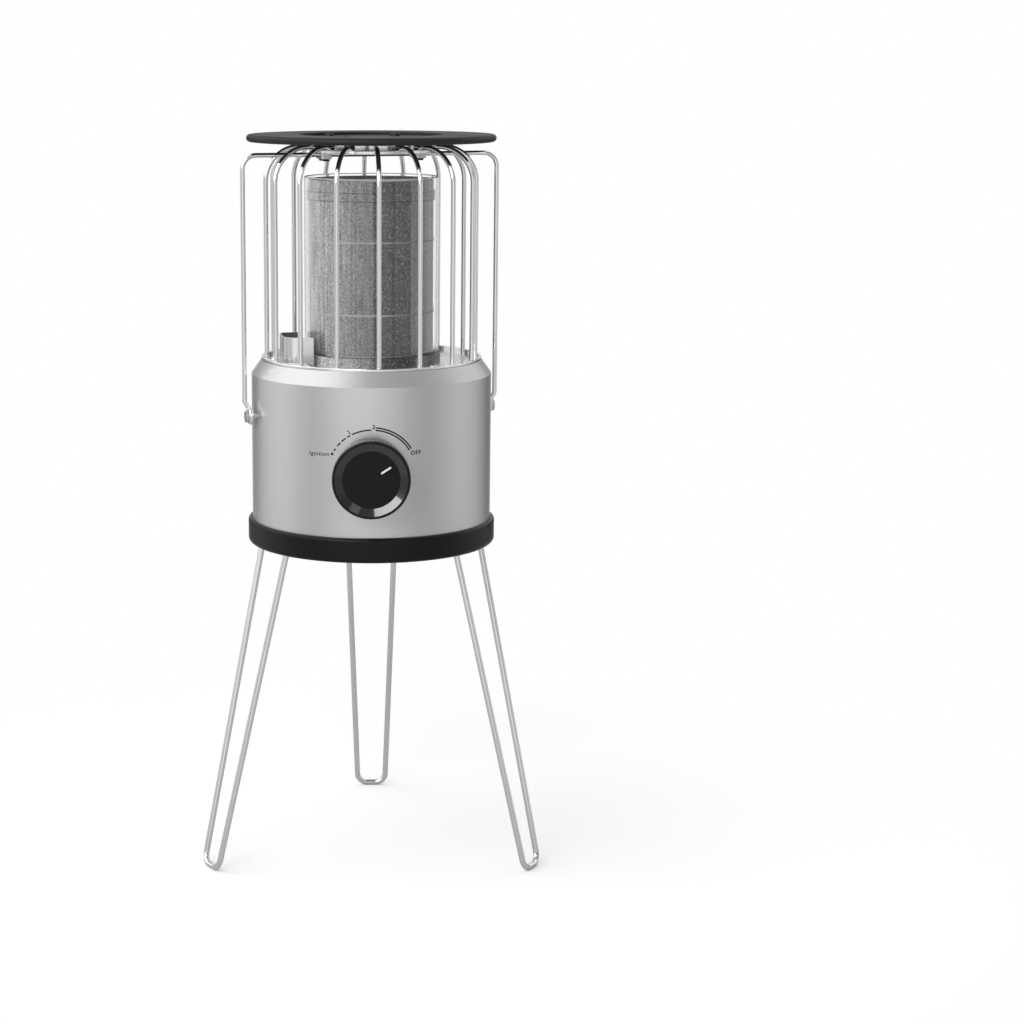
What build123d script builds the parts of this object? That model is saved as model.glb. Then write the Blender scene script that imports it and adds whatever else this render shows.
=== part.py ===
from build123d import *
import os
from math import atan, cos, radians, sin, sqrt, tan

# Portable propane heater: a mesh burner in a glass chimney under a wire guard, on a drum
# body that stands on three plug-in wire legs. Millimetres, +Z up, origin on the floor on
# the drum's axis. The control knob faces -Y and the gas inlet +Y.

os.makedirs("parts", exist_ok=True)

# Clearances
seat_gap = 0.3                  # pieces that sit in or round each other and stay there
running_gap = 0.05              # radial, shafts that turn or slide
screw_gap = 0.05                # radial, a screw in its thread
through_gap = 0.3               # radial, a screw or wire in a plain hole

# Legs: each one hairpin of round wire, splayed outwards
leg_wire = 4.5
leg_azimuths = {"left": 210.0, "right": 330.0, "rear": 90.0}
leg_foot_radius = 138.8         # drum axis to the middle of the toe
leg_root_inset = 6.5            # leg's centre line inside the drum at the tray underside
leg_root_spacing = 38.2
leg_foot_spacing = 22.6
leg_foot_bend = 8.0
leg_root_bend = 40.0
leg_bend_drop = 2.0             # tray underside to the bend where the two wires turn in
leg_plug = 24.0                 # length that goes up into the socket

# Base tray and chassis
tray_z = 239.0                  # floor to the tray underside
tray_height = 18.5
tray_overhang = 3.3
tray_floor = 3.0
tray_ledge = 6.0                # tray underside to the ledge that carries the drum
tray_lower_round = 3.5
tray_upper_flat = 0.6           # left flat inside the rim's outer round
vent_count = 12
vent_length = 26.0
vent_width = 5.0
vent_radius = 42.0
socket_height = 26.0
socket_width = 48.0
socket_depth = 17.0
socket_shift = 1.0              # towards the drum's axis, off the middle of the plugs
socket_screw_spread = 16.0
chassis_thickness = 1.2
chassis_rim = 6.0
air_hole_radius = 4.5
air_hole_circle = 27.0
air_hole_count = 8

# Drum body
body_radius = 90.0
body_wall = 1.0
drum_height = 128.0             # tray underside to the corner of the chamfer
chamfer_run = 7.4
chamfer_rise = 10.6

# Deck, chimney and burner
deck_rim_rise = 2.0             # drum's top edge to the top of the deck rim
deck_rim_inset = 0.1
deck_rim_thickness = 1.5
deck_sink = 3.6                 # deck rim down to the deck floor
deck_sheet = 0.8
deck_rim_round = 0.5
glass_radius = 50.0
glass_wall = 2.0
glass_length = 133.6
seat_ring_wall = 1.3
seat_ring_base = 3.0
seat_ring_height = 7.0
mesh_glass_gap = 1.8            # mesh to the inside of the glass
mesh_wall = 1.0
mesh_height = 135.0
band_rise = 119.9
band_height = 7.2
band_wall = 1.0
hoop_rises = (7.0, 37.3, 90.2)
hoop_height = 1.2
hoop_wall = 0.6
fit_gap = 0.1                   # radial, a hoop or band pressed on the mesh
diffuser_gap = 7.2              # diffuser to the inside of the mesh
diffuser_wall = 0.8
diffuser_seat = 5.0             # deck left under the diffuser, inside it
cap_thickness = 2.5
cap_sink = 2.5                  # mesh top down to the cap's top
cap_round = 0.8
cup_step = 3.0                  # cup wider than the hole in the deck
cup_wall = 1.2
cup_flange = 8.0
cup_depth = 23.0
cup_neck_radius = 13.5
cup_taper = 7.0
cup_neck_length = 10.0
shield_drop = 22.0              # deck underside to the heat shield
shield_sheet = 0.8
shield_edge_gap = 3.0
cup_shield_gap = 3.0
window_width = 10.5             # in the heat shield, for the igniter's leads
post_azimuths = (45.0, 135.0, 225.0, 315.0)
post_outer = 4.0
post_neck = 3.2

# Gas train in the drum
tube_radius = 12.0
tube_wall = 1.0
tube_insert = 8.0
bell_radius = 17.0
bell_height = 6.0
injector_share = 0.469697       # injector's seat, on the way from the chassis to the burner's neck
injector_radius = 5.0
injector_height = 10.0
injector_nose = 4.0
injector_nose_radius = 2.5
orifice_radius = 0.6
air_gap = 6.0                   # injector hex to the mixing tube's mouth
holder_radius = 7.0
holder_foot_radius = 16.0
holder_foot = 2.5
pipe_radius = 3.0
pipe_bore = 2.2
pipe_insert = 3.0
outlet_run_rise = 8.0           # chassis plate to the outlet pipe's centre line
inlet_rise = 18.0               # chassis plate to the gas inlet's centre line
inlet_thread_radius = 8.0
inlet_bore = 3.0
inlet_stub_radius = 6.58        # quarter inch gas thread for the hose
inlet_stub = 11.0
inlet_flange_radius = 11.5
inlet_flange = 4.0
inlet_tail = 5.0
inlet_tail_radius = 5.5
inlet_nut_across = 22.0
inlet_nut_height = 4.5
inlet_pipe_side = 34.0
inlet_pipe_rear = 60.0
inlet_pipe_turn = 44.0
pipe_bend = 9.0
outlet_bend = 6.0

# Valve, stem and knob, measured forwards from the drum axis along the knob axis
knob_rise = 63.7                # tray underside to the knob axis
knob_travel = 3.5               # push needed to open the safety valve
knob_clearance = 0.4            # left between knob and drum when pushed in
knob_radius = 28.25
knob_stand = 16.0               # drum front to the knob's front edge
knob_edge = 2.0                 # flat ring at the front
knob_front_round = 0.8
knob_dish = 2.4
knob_face_radius = 20.9
knob_face_thickness = 1.2
knob_web = 2.0
knob_skirt_wall = 2.6
knob_hub_radius = 7.5
knurl_count = 90
knurl_radius = 0.5
knurl_out = 0.17                # groove's middle outside the skirt
knurl_front_margin = 3.2
pointer_angle = 33.5
pointer_start = 8.3
pointer_end = 17.0
pointer_width = 1.5
pointer_depth = 0.7
pointer_proud = 0.1
stem_radius = 4.0
stem_flat = 3.2                 # axis to the flat of the D section
stem_hole_gap = 2.0
bracket_width = 44.0
bracket_sheet = 1.5
bracket_clearance = 0.5         # bracket corners to the chassis rim
bracket_foot = 24.0
bracket_top = 17.0
bracket_screw_x = 14.7
valve_width = 26.0
valve_length = 28.0
valve_round = 3.0
bonnet_length = 11.0
bonnet_wall = 3.0
bonnet_cavity_radius = 7.4
collar_radius = 6.4
collar_length = 1.6
stem_tail_radius = 3.5
stem_tail_length = 15.1
spigot_radius = 2.0
spigot_length = 8.0
spigot_end_gap = 1.0
pin_length = 10.0
pin_tip_radius = 1.6
pin_tip_length = 4.6
spring_wire = 0.6
spring_radius = 5.3
spring_turns = 3
magnet_radius = 8.0
magnet_length = 22.0
magnet_nose_radius = 6.0
magnet_nose = 4.0
magnet_bore = 2.2
magnet_stud_radius = 2.5
magnet_stud = 5.0
port_from_front = 24.0          # bonnet front to the two gas ports
port_boss_radius = 6.0
port_boss = 4.0

# Ignition and safety
piezo_radius = 6.5
piezo_length = 36.0
piezo_rise = 4.0
piezo_setback = 2.0             # behind the valve's front
igniter_azimuth = 197.0
igniter_length = 44.0
igniter_height = 21.0
igniter_sheet = 0.8
igniter_corner = 9.0
igniter_guard_gap = 4.7
igniter_glass_gap = 2.8
igniter_foot = 3.0
igniter_foot_sheet = 2.0
electrode_azimuth = 203.0
electrode_radius = 3.5
electrode_collar_radius = 5.0
electrode_collar = 2.0
electrode_below = 10.0
electrode_above = 13.0
tip_radius = 0.8
tip_rise = 5.0
tip_reach = 6.0
tip_bend = 2.0
couple_azimuth = 188.0
couple_radius = 2.0
couple_above = 16.0
couple_nut_radius = 4.0
couple_nut = 3.0
lead_radius = 1.3
lead_bend = 6.0
lead_start = 12.0               # straight behind the piezo
lead_climb = 12.0
lead_inset = 14.0               # inside the deck circle before it turns up
lead_drop = 20.0                # straight up into the electrode
couple_bend = 4.0
couple_start = 7.0              # straight behind the magnet unit
couple_turn = (-30.0, 10.0, -2.0)
couple_inset = 12.0
couple_climb = 20.0
couple_drop = 16.0
tilt_place = (-28.0, 34.0)
tilt_size = 18.0
tilt_height = 14.0
tilt_round = 2.0
tilt_lead_bend = 3.0
tilt_lead_run = 26.0            # straight forwards from the switch
tilt_lead_side = 13.0
tilt_lead_drop = 6.0            # under the magnet unit

# Guard, reflector, bail and top plate
guard_wire = 3.5
guard_count = 16
guard_phase = -85.94            # azimuth of the first wire, just right of the front
guard_rise = 159.0              # deck floor to the wires' centre line at the top
guard_bend = 26.0
guard_edge_gap = 0.25
guard_inner_end = 42.0
guard_below = 6.0               # how far the wires pass through the deck
hub_radius = 50.0
hub_bore = 30.0
hub_thickness = 1.5
reflector_radius = 46.0
reflector_sheet = 0.8
reflector_depth = 2.5
bail_wire = 3.5
bail_azimuth = 15.45
bail_stand = 7.56               # drum wall to the bail's centre line
bail_bend = 10.0
bail_joggle = 3.2
bail_joggle_rise = 5.0
bail_joggle_height = 5.5
bail_joggle_bend = 4.0
eye_radius = 4.4                # centre line
eye_turn = 300.0
stud_rise = 98.5                # tray underside to the studs
stud_gap = 0.25
stud_head_radius = 4.4
stud_head = 1.8
stud_flange_radius = 3.6
stud_thread_radius = 2.0
stud_thread = 7.0
stud_nut_across = 7.0
stud_nut_height = 3.0
clip_radius = 36.0
clip_width = 8.0
clip_length = 17.0
clip_round = 1.5
clip_floor = 1.3
clip_screw_spread = 10.6
plate_radius = 92.4
plate_thickness = 5.4
plate_round = 2.6
recess_radius = 53.5
recess_depth = 2.3
recess_round = 0.8
plate_screw_circle = 36.0
plate_screw_count = 4
plate_screw_phase = bail_azimuth + 45

# Screws, by the radius of the shank
screw_m4 = 2.0
screw_m3 = 1.5
screw_length = 9.0
screw_head_share = 1.8          # head radius over shank radius
screw_head_height_share = 1.1   # head height over shank radius
screw_head_round_share = 0.33   # head's edge round over head height

# Levels
floor_z = tray_z + tray_floor
chassis_z = floor_z + socket_height
chassis_top_z = chassis_z + chassis_thickness
knob_z = tray_z + knob_rise
inlet_z = chassis_top_z + inlet_rise
corner_z = tray_z + drum_height
drum_top_z = corner_z + chamfer_rise
deck_rim_z = drum_top_z + deck_rim_rise
deck_z = deck_rim_z - deck_sink
deck_under_z = deck_z - deck_sheet
heat_shield_z = deck_under_z - shield_drop
glass_z = deck_z + seat_ring_base + seat_gap
mesh_top_z = deck_z + mesh_height
cap_z = mesh_top_z - cap_sink - cap_thickness
guard_top_z = deck_z + guard_rise
hub_z = guard_top_z + guard_wire / 2
plate_z = hub_z + hub_thickness
reflector_top_z = guard_top_z - guard_wire / 2
bar_z = reflector_top_z - reflector_depth - bail_wire / 2
stud_z = tray_z + stud_rise

# Burner stack
mesh_radius = glass_radius - glass_wall - mesh_glass_gap
diffuser_radius = mesh_radius - mesh_wall - diffuser_gap
deck_hole_radius = diffuser_radius - diffuser_seat
cup_radius = deck_hole_radius + cup_step
cup_bottom_z = deck_under_z - cup_depth
neck_top_z = cup_bottom_z - cup_taper
neck_bottom_z = neck_top_z - cup_neck_length
injector_rise = (neck_bottom_z - chassis_top_z) * injector_share

# Radii
inner_radius = body_radius - body_wall
drum_top_radius = body_radius - chamfer_run
chamfer_angle = atan(chamfer_run / chamfer_rise)
drum_top_inner = drum_top_radius - body_wall / cos(chamfer_angle)
ledge_inner = inner_radius - body_wall
deck_wall_outer = drum_top_inner - seat_gap
deck_wall_inner = deck_wall_outer - deck_sheet
guard_radius = deck_wall_inner - guard_edge_gap - guard_wire / 2
guard_inner = guard_radius - guard_wire / 2
seat_ring_outer = glass_radius + seat_gap + seat_ring_wall
deck_middle = (seat_ring_outer + guard_inner) / 2
bail_radius = body_radius + bail_stand
eye_plane_radius = bail_radius - bail_joggle
leg_root_radius = body_radius - leg_root_inset
leg_splay = atan((leg_foot_radius - leg_root_radius) / (tray_z - leg_wire / 2))
leg_length = (tray_z - leg_wire / 2) / cos(leg_splay)
socket_middle = leg_root_radius - tan(leg_splay) * socket_height / 2 - socket_shift

# Stations forwards of the drum axis
chassis_radius = inner_radius - seat_gap
rim_inner = chassis_radius - chassis_thickness
knob_back = body_radius + knob_travel + knob_clearance
knob_front = body_radius + knob_stand
face_front = knob_front - knob_dish
pocket_floor = face_front - knob_face_thickness
web_back = pocket_floor - knob_web
bracket_front = sqrt(rim_inner**2 - (bracket_width / 2) ** 2) - bracket_clearance
bonnet_front = bracket_front - bracket_sheet
valve_front = bonnet_front - bonnet_length
valve_back = valve_front - valve_length
port_y = -(bonnet_front - port_from_front)
collar_front = bonnet_front - bonnet_wall - seat_gap
collar_back = collar_front - collar_length
stem_back = collar_back - stem_tail_length
pin_front = stem_back - seat_gap
pin_back = pin_front - pin_length
magnet_back = valve_back - magnet_length


def polar(radius, azimuth):
    return radius * cos(radians(azimuth)), radius * sin(radians(azimuth))


def outward(azimuth):
    return Vector(*polar(1, azimuth), 0)


def across(azimuth):
    return Vector(*polar(1, azimuth + 90), 0)


def level_plane(azimuth, z):
    # Level, with X outwards along the azimuth
    return Plane(origin=(0, 0, z), x_dir=outward(azimuth), z_dir=(0, 0, 1))


def upright_plane(azimuth):
    # Through the drum axis, with X outwards along the azimuth and Y up
    return Plane(origin=(0, 0, 0), x_dir=outward(azimuth), z_dir=across(azimuth) * -1)


def side_plane(azimuth, radius, z):
    # Facing outwards from the drum, with Y up
    origin = (*polar(radius, azimuth), z)
    return Plane(origin=origin, x_dir=across(azimuth), z_dir=outward(azimuth))


def front_plane(distance, z=knob_z):
    # Facing forwards, at a distance in front of the drum axis, with Y up
    return Plane(origin=(0, -distance, z), x_dir=(1, 0, 0), z_dir=(0, -1, 0))


def rear_plane(distance, z=inlet_z):
    # Facing backwards, at a distance behind the drum axis, with Y up
    return Plane(origin=(0, distance, z), x_dir=(-1, 0, 0), z_dir=(0, 1, 0))


def leg_plane(azimuth):
    # The plane that a leg's hairpin lies in, with Y up along the leg
    facing = outward(azimuth) * cos(leg_splay) + Vector(0, 0, sin(leg_splay))
    origin = (*polar(leg_root_radius, azimuth), tray_z)
    return Plane(origin=origin, x_dir=across(azimuth), z_dir=facing)


def plug_plane(azimuth):
    # Square to a leg's plugs at the tray underside, with Z up into the socket
    upwards = outward(azimuth) * -sin(leg_splay) + Vector(0, 0, cos(leg_splay))
    origin = (*polar(leg_root_radius, azimuth), tray_z)
    return Plane(origin=origin, x_dir=across(azimuth), z_dir=upwards)


knob_profile = Plane(origin=(0, 0, knob_z), x_dir=(0, -1, 0), z_dir=(-1, 0, 0))
knob_axis = Axis((0, 0, knob_z), (0, -1, 0))
inlet_profile = Plane(origin=(0, 0, inlet_z), x_dir=(0, 1, 0), z_dir=(1, 0, 0))
inlet_axis = Axis((0, 0, inlet_z), (0, 1, 0))


def finish(piece, name):
    piece.part.label = name
    export_step(piece.part, f"parts/{name}.step")


def turned(points, plane=Plane.XZ, axis=Axis.Z):
    # A solid of revolution from an outline of (along or radius, radius or height) points
    with BuildPart() as piece:
        with BuildSketch(plane):
            with BuildLine():
                Polyline(*points, close=True)
            make_face()
        revolve(axis=axis)
    return piece


def ring(inner, outer, bottom, height):
    with BuildPart() as piece:
        with BuildSketch(Plane.XY.offset(bottom)):
            Circle(outer)
            Circle(inner, mode=Mode.SUBTRACT)
        extrude(amount=height)
    return piece


def bent_tube(points, bend, radius, bore=0):
    # A pipe or lead along straight runs joined by tangent arcs
    with BuildPart() as piece:
        with BuildLine() as route:
            FilletPolyline(*points, radius=bend)
        with BuildSketch(Plane(origin=route.line @ 0, z_dir=route.line % 0)):
            Circle(radius)
            if bore:
                Circle(bore, mode=Mode.SUBTRACT)
        sweep(path=route.line)
    return piece


def screw(shank, length):
    # Head upwards on the XY plane, shank below it
    head_height = shank * screw_head_height_share
    with BuildPart() as piece:
        with BuildSketch():
            Circle(shank * screw_head_share)
        extrude(amount=head_height)
        fillet(piece.edges().group_by(Axis.Z)[-1], head_height * screw_head_round_share)
        with BuildSketch():
            Circle(shank - screw_gap)
        extrude(amount=-length)
    return piece.part


def placed(shape, planes):
    # Copies of one shape, one on each plane, kept as separate solids
    with BuildPart() as group:
        with Locations(*[plane.location for plane in planes]):
            add(shape)
    return group


# Legs and their sockets
for side, azimuth in leg_azimuths.items():
    root = leg_root_spacing / 2
    foot = leg_foot_spacing / 2
    with BuildPart() as leg:
        with BuildLine(leg_plane(azimuth)) as route:
            FilletPolyline(
                (root, leg_plug),
                (root, -leg_bend_drop),
                (foot, -leg_length),
                (-foot, -leg_length),
                (-root, -leg_bend_drop),
                (-root, leg_plug),
                radius=[leg_root_bend, leg_foot_bend, leg_foot_bend, leg_root_bend],
            )
        with BuildSketch(Plane(origin=route.line @ 0, z_dir=route.line % 0)):
            Circle(leg_wire / 2)
        sweep(path=route.line)
    finish(leg, f"leg_{side}")

    with BuildPart() as socket:
        with BuildSketch(level_plane(azimuth, floor_z)):
            Circle(ledge_inner - seat_gap)
            with Locations((socket_middle, 0)):
                Rectangle(socket_depth, socket_width, mode=Mode.INTERSECT)
        extrude(amount=socket_height)
        with BuildSketch(plug_plane(azimuth).offset(-tray_floor)):
            with Locations((root, 0), (-root, 0)):
                Circle(leg_wire / 2 + running_gap)
        extrude(amount=tray_floor + leg_plug + seat_gap, mode=Mode.SUBTRACT)
        with BuildSketch(level_plane(azimuth, floor_z)):
            with Locations((socket_middle, -socket_screw_spread / 2),
                           (socket_middle, socket_screw_spread / 2)):
                Circle(screw_m4)
        extrude(amount=screw_length, mode=Mode.SUBTRACT)
        with BuildSketch(level_plane(azimuth, chassis_z)):
            with Locations((socket_middle, 0)):
                Circle(screw_m4)
        extrude(amount=-screw_length, mode=Mode.SUBTRACT)
    finish(socket, f"leg_socket_{side}")

# Base tray: the drum stands on its ledge and the legs pass up through its floor
tray_radius = body_radius + tray_overhang
tray_inner = body_radius + seat_gap
with BuildPart() as base_tray:
    with BuildSketch(Plane.XZ):
        with BuildLine():
            Polyline(
                (0, tray_z),
                (tray_radius, tray_z),
                (tray_radius, tray_z + tray_height),
                (tray_inner, tray_z + tray_height),
                (tray_inner, tray_z + tray_ledge),
                (ledge_inner, tray_z + tray_ledge),
                (ledge_inner, floor_z),
                (0, floor_z),
                close=True,
            )
        make_face()
    revolve(axis=Axis.Z)
    outer_edges = base_tray.edges().filter_by(GeomType.CIRCLE).group_by(SortBy.RADIUS)[-1]
    fillet(outer_edges.sort_by(Axis.Z)[0], tray_lower_round)
    outer_edges = base_tray.edges().filter_by(GeomType.CIRCLE).group_by(SortBy.RADIUS)[-1]
    fillet(outer_edges.sort_by(Axis.Z)[-1], tray_overhang - seat_gap - tray_upper_flat)
    with BuildSketch(Plane.XY.offset(tray_z)):
        with PolarLocations(vent_radius, vent_count):
            SlotOverall(vent_length, vent_width)
    extrude(amount=tray_floor, mode=Mode.SUBTRACT)
    for azimuth in leg_azimuths.values():
        with BuildSketch(plug_plane(azimuth).offset(-tray_floor)):
            with Locations((leg_root_spacing / 2, 0), (-leg_root_spacing / 2, 0)):
                Circle(leg_wire / 2 + through_gap)
        extrude(amount=3 * tray_floor, mode=Mode.SUBTRACT)
        with BuildSketch(level_plane(azimuth, tray_z)):
            with Locations((socket_middle, -socket_screw_spread / 2),
                           (socket_middle, socket_screw_spread / 2)):
                Circle(screw_m4 + through_gap)
        extrude(amount=tray_floor, mode=Mode.SUBTRACT)
finish(base_tray, "base_tray")

# Chassis plate: a shallow dish across the drum on top of the sockets
post_radius = deck_middle
bracket_foot_middle = bonnet_front - bracket_foot / 2
with BuildPart() as chassis_plate:
    with BuildSketch(Plane.XZ):
        with BuildLine():
            Polyline(
                (0, chassis_z),
                (chassis_radius, chassis_z),
                (chassis_radius, chassis_z + chassis_rim),
                (rim_inner, chassis_z + chassis_rim),
                (rim_inner, chassis_top_z),
                (0, chassis_top_z),
                close=True,
            )
        make_face()
    revolve(axis=Axis.Z)
    with BuildSketch(Plane.XY.offset(chassis_z)):
        with PolarLocations(air_hole_circle, air_hole_count, start_angle=180 / air_hole_count):
            Circle(air_hole_radius)
        with Locations(*[polar(socket_middle, azimuth) for azimuth in leg_azimuths.values()]):
            Circle(screw_m4 + through_gap)
        with Locations(*[polar(post_radius, azimuth) for azimuth in post_azimuths]):
            Circle(screw_m4 + through_gap)
        with Locations((-bracket_screw_x, -bracket_foot_middle),
                       (bracket_screw_x, -bracket_foot_middle)):
            Circle(screw_m3)
    extrude(amount=chassis_thickness, mode=Mode.SUBTRACT)
finish(chassis_plate, "chassis_plate")

tray_screw_planes = []
for azimuth in leg_azimuths.values():
    for offset in (-socket_screw_spread / 2, socket_screw_spread / 2):
        centre = outward(azimuth) * socket_middle + across(azimuth) * offset
        tray_screw_planes.append(Plane(origin=(centre.X, centre.Y, tray_z), z_dir=(0, 0, -1)))
base_screws = placed(screw(screw_m4, screw_length), tray_screw_planes)
finish(base_screws, "base_screws")

chassis_screw_planes = [
    Plane(origin=(*polar(socket_middle, azimuth), chassis_top_z), z_dir=(0, 0, 1))
    for azimuth in leg_azimuths.values()
]
chassis_screw_planes += [
    Plane(origin=(*polar(post_radius, azimuth), chassis_z), z_dir=(0, 0, -1))
    for azimuth in post_azimuths
]
chassis_screws = placed(screw(screw_m4, screw_length), chassis_screw_planes)
finish(chassis_screws, "chassis_screws")

# Drum body: a sheet tube, turned in to a chamfer at the top
drum_bottom_z = tray_z + tray_ledge
inner_corner_z = corner_z - body_wall * tan(chamfer_angle / 2)
stem_hole_radius = stem_radius + stem_hole_gap
with BuildPart() as body_shell:
    with BuildSketch(Plane.XZ):
        with BuildLine():
            Polyline(
                (inner_radius, drum_bottom_z),
                (body_radius, drum_bottom_z),
                (body_radius, corner_z),
                (drum_top_radius, drum_top_z),
                (drum_top_inner, drum_top_z),
                (inner_radius, inner_corner_z),
                close=True,
            )
        make_face()
    revolve(axis=Axis.Z)
    with BuildSketch(front_plane(body_radius / 2)):
        Circle(stem_hole_radius)
    extrude(amount=body_radius, mode=Mode.SUBTRACT)
    with BuildSketch(rear_plane(body_radius / 2)):
        Circle(inlet_thread_radius + through_gap)
    extrude(amount=body_radius, mode=Mode.SUBTRACT)
    for azimuth in (bail_azimuth, bail_azimuth + 180):
        with BuildSketch(side_plane(azimuth, body_radius / 2, stud_z)):
            with Locations((eye_radius, 0)):
                Circle(stud_thread_radius + through_gap)
        extrude(amount=body_radius, mode=Mode.SUBTRACT)
finish(body_shell, "body_shell")

# Posts that tie the chassis plate to the deck and carry the heat shield on a shoulder
with BuildPart() as post:
    with BuildSketch(Plane.XY.offset(chassis_top_z)):
        Circle(post_outer)
    extrude(amount=heat_shield_z - chassis_top_z)
    with BuildSketch(Plane.XY.offset(heat_shield_z)):
        Circle(post_neck)
    extrude(amount=deck_under_z - heat_shield_z)
    with BuildSketch(Plane.XY.offset(chassis_top_z)):
        Circle(screw_m4)
    extrude(amount=screw_length, mode=Mode.SUBTRACT)
    with BuildSketch(Plane.XY.offset(deck_under_z)):
        Circle(screw_m4)
    extrude(amount=-screw_length, mode=Mode.SUBTRACT)
with BuildPart() as body_posts:
    with Locations(*[(*polar(post_radius, azimuth), 0) for azimuth in post_azimuths]):
        add(post.part)
finish(body_posts, "body_posts")

# Deck pan: a bright dish that closes the drum and takes the feet of the guard wires
with BuildPart() as deck_pan:
    with BuildSketch(Plane.XZ):
        with BuildLine():
            Polyline(
                (deck_hole_radius, deck_under_z),
                (deck_wall_outer, deck_under_z),
                (deck_wall_outer, deck_rim_z - deck_rim_thickness),
                (drum_top_radius - deck_rim_inset, deck_rim_z - deck_rim_thickness),
                (drum_top_radius - deck_rim_inset, deck_rim_z),
                (deck_wall_inner, deck_rim_z),
                (deck_wall_inner, deck_z),
                (deck_hole_radius, deck_z),
                close=True,
            )
        make_face()
    revolve(axis=Axis.Z)
    rim_edges = deck_pan.edges().filter_by(GeomType.CIRCLE).group_by(Axis.Z)[-1]
    fillet(rim_edges, deck_rim_round)
    with BuildSketch(Plane.XY.offset(deck_under_z)):
        with PolarLocations(guard_radius, guard_count, start_angle=guard_phase):
            Circle(guard_wire / 2 + guard_edge_gap / 2)
        with Locations(*[polar(post_radius, azimuth) for azimuth in post_azimuths]):
            Circle(screw_m4 + through_gap)
        with Locations(polar(deck_middle, electrode_azimuth)):
            Circle(electrode_radius + through_gap)
        with Locations(polar(deck_middle, couple_azimuth)):
            Circle(couple_radius + through_gap)
    extrude(amount=deck_sheet, mode=Mode.SUBTRACT)
finish(deck_pan, "deck_pan")

deck_screw_planes = [
    Plane(origin=(*polar(post_radius, azimuth), deck_z), z_dir=(0, 0, 1))
    for azimuth in post_azimuths
]
deck_screws = placed(screw(screw_m4, screw_length), deck_screw_planes)
finish(deck_screws, "deck_screws")

# Heat shield under the deck, with a window for the igniter's leads
window_length = igniter_length - igniter_corner
with BuildPart() as heat_shield:
    with BuildSketch(Plane.XY.offset(heat_shield_z)):
        Circle(inner_radius - shield_edge_gap)
        Circle(cup_radius + cup_shield_gap, mode=Mode.SUBTRACT)
        with Locations(*[polar(post_radius, azimuth) for azimuth in post_azimuths]):
            Circle(post_neck + through_gap / 2, mode=Mode.SUBTRACT)
    extrude(amount=shield_sheet)
    with BuildSketch(level_plane(igniter_azimuth, heat_shield_z)):
        with Locations((deck_middle, 0)):
            SlotOverall(window_length, window_width, rotation=90)
    extrude(amount=shield_sheet, mode=Mode.SUBTRACT)
finish(heat_shield, "heat_shield")

# Burner cup under the deck, its neck open for the mixing tube
cup_inner = cup_radius - cup_wall
neck_inner = cup_neck_radius - cup_wall
burner_cup = turned([
    (cup_inner, deck_under_z),
    (cup_radius + cup_flange, deck_under_z),
    (cup_radius + cup_flange, deck_under_z - cup_wall),
    (cup_radius, deck_under_z - cup_wall),
    (cup_radius, cup_bottom_z),
    (cup_neck_radius, neck_top_z),
    (cup_neck_radius, neck_bottom_z),
    (neck_inner, neck_bottom_z),
    (neck_inner, neck_top_z),
    (cup_inner, cup_bottom_z),
])
finish(burner_cup, "burner_cup")

# Mixing tube with a bell mouth over the injector
injector_z = chassis_top_z + injector_rise
tube_bottom_z = injector_z + injector_height + air_gap
tube_top_z = neck_bottom_z + tube_insert
mixing_tube = turned([
    (bell_radius - tube_wall, tube_bottom_z),
    (bell_radius, tube_bottom_z),
    (tube_radius, tube_bottom_z + bell_height),
    (tube_radius, tube_top_z),
    (tube_radius - tube_wall, tube_top_z),
    (tube_radius - tube_wall, tube_bottom_z + bell_height),
])
finish(mixing_tube, "mixing_tube")

# Injector and the post that holds it under the mixing tube
outlet_z = chassis_top_z + outlet_run_rise
with BuildPart() as injector_holder:
    with BuildSketch(Plane.XY.offset(chassis_top_z)):
        Circle(holder_foot_radius)
    extrude(amount=holder_foot)
    with BuildSketch(Plane.XY.offset(chassis_top_z)):
        Circle(holder_radius)
    extrude(amount=injector_rise)
    with BuildSketch(Plane.XY.offset(injector_z)):
        Circle(pipe_bore)
    extrude(amount=outlet_z - injector_z, mode=Mode.SUBTRACT)
    with BuildSketch(front_plane(0, outlet_z)):
        Circle(pipe_bore)
    extrude(amount=holder_radius, mode=Mode.SUBTRACT)
    with BuildSketch(front_plane(holder_radius - pipe_insert, outlet_z)):
        Circle(pipe_radius + fit_gap)
    extrude(amount=2 * pipe_insert, mode=Mode.SUBTRACT)
finish(injector_holder, "injector_holder")

with BuildPart() as injector:
    with BuildSketch(Plane.XY.offset(injector_z)):
        RegularPolygon(injector_radius, 6)
    extrude(amount=injector_height - injector_nose)
    with BuildSketch(Plane.XY.offset(injector_z + injector_height - injector_nose)):
        Circle(injector_nose_radius)
    extrude(amount=injector_nose)
    with BuildSketch(Plane.XY.offset(injector_z)):
        Circle(orifice_radius)
    extrude(amount=injector_height, mode=Mode.SUBTRACT)
finish(injector, "injector")

# Burner head: mesh cylinder with its band and hoops, diffuser inside, cap on top
mesh_emitter = ring(mesh_radius - mesh_wall, mesh_radius, deck_z, mesh_height)
finish(mesh_emitter, "mesh_emitter")

sleeve_inner = mesh_radius + fit_gap
mesh_band = ring(sleeve_inner, sleeve_inner + band_wall, deck_z + band_rise, band_height)
finish(mesh_band, "mesh_band")

with BuildPart() as mesh_hoops:
    for rise in hoop_rises:
        with BuildSketch(Plane.XY.offset(deck_z + rise)):
            Circle(sleeve_inner + hoop_wall)
            Circle(sleeve_inner, mode=Mode.SUBTRACT)
        extrude(amount=hoop_height)
finish(mesh_hoops, "mesh_hoops")

inner_diffuser = ring(diffuser_radius - diffuser_wall, diffuser_radius, deck_z, cap_z - deck_z)
finish(inner_diffuser, "inner_diffuser")

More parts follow.
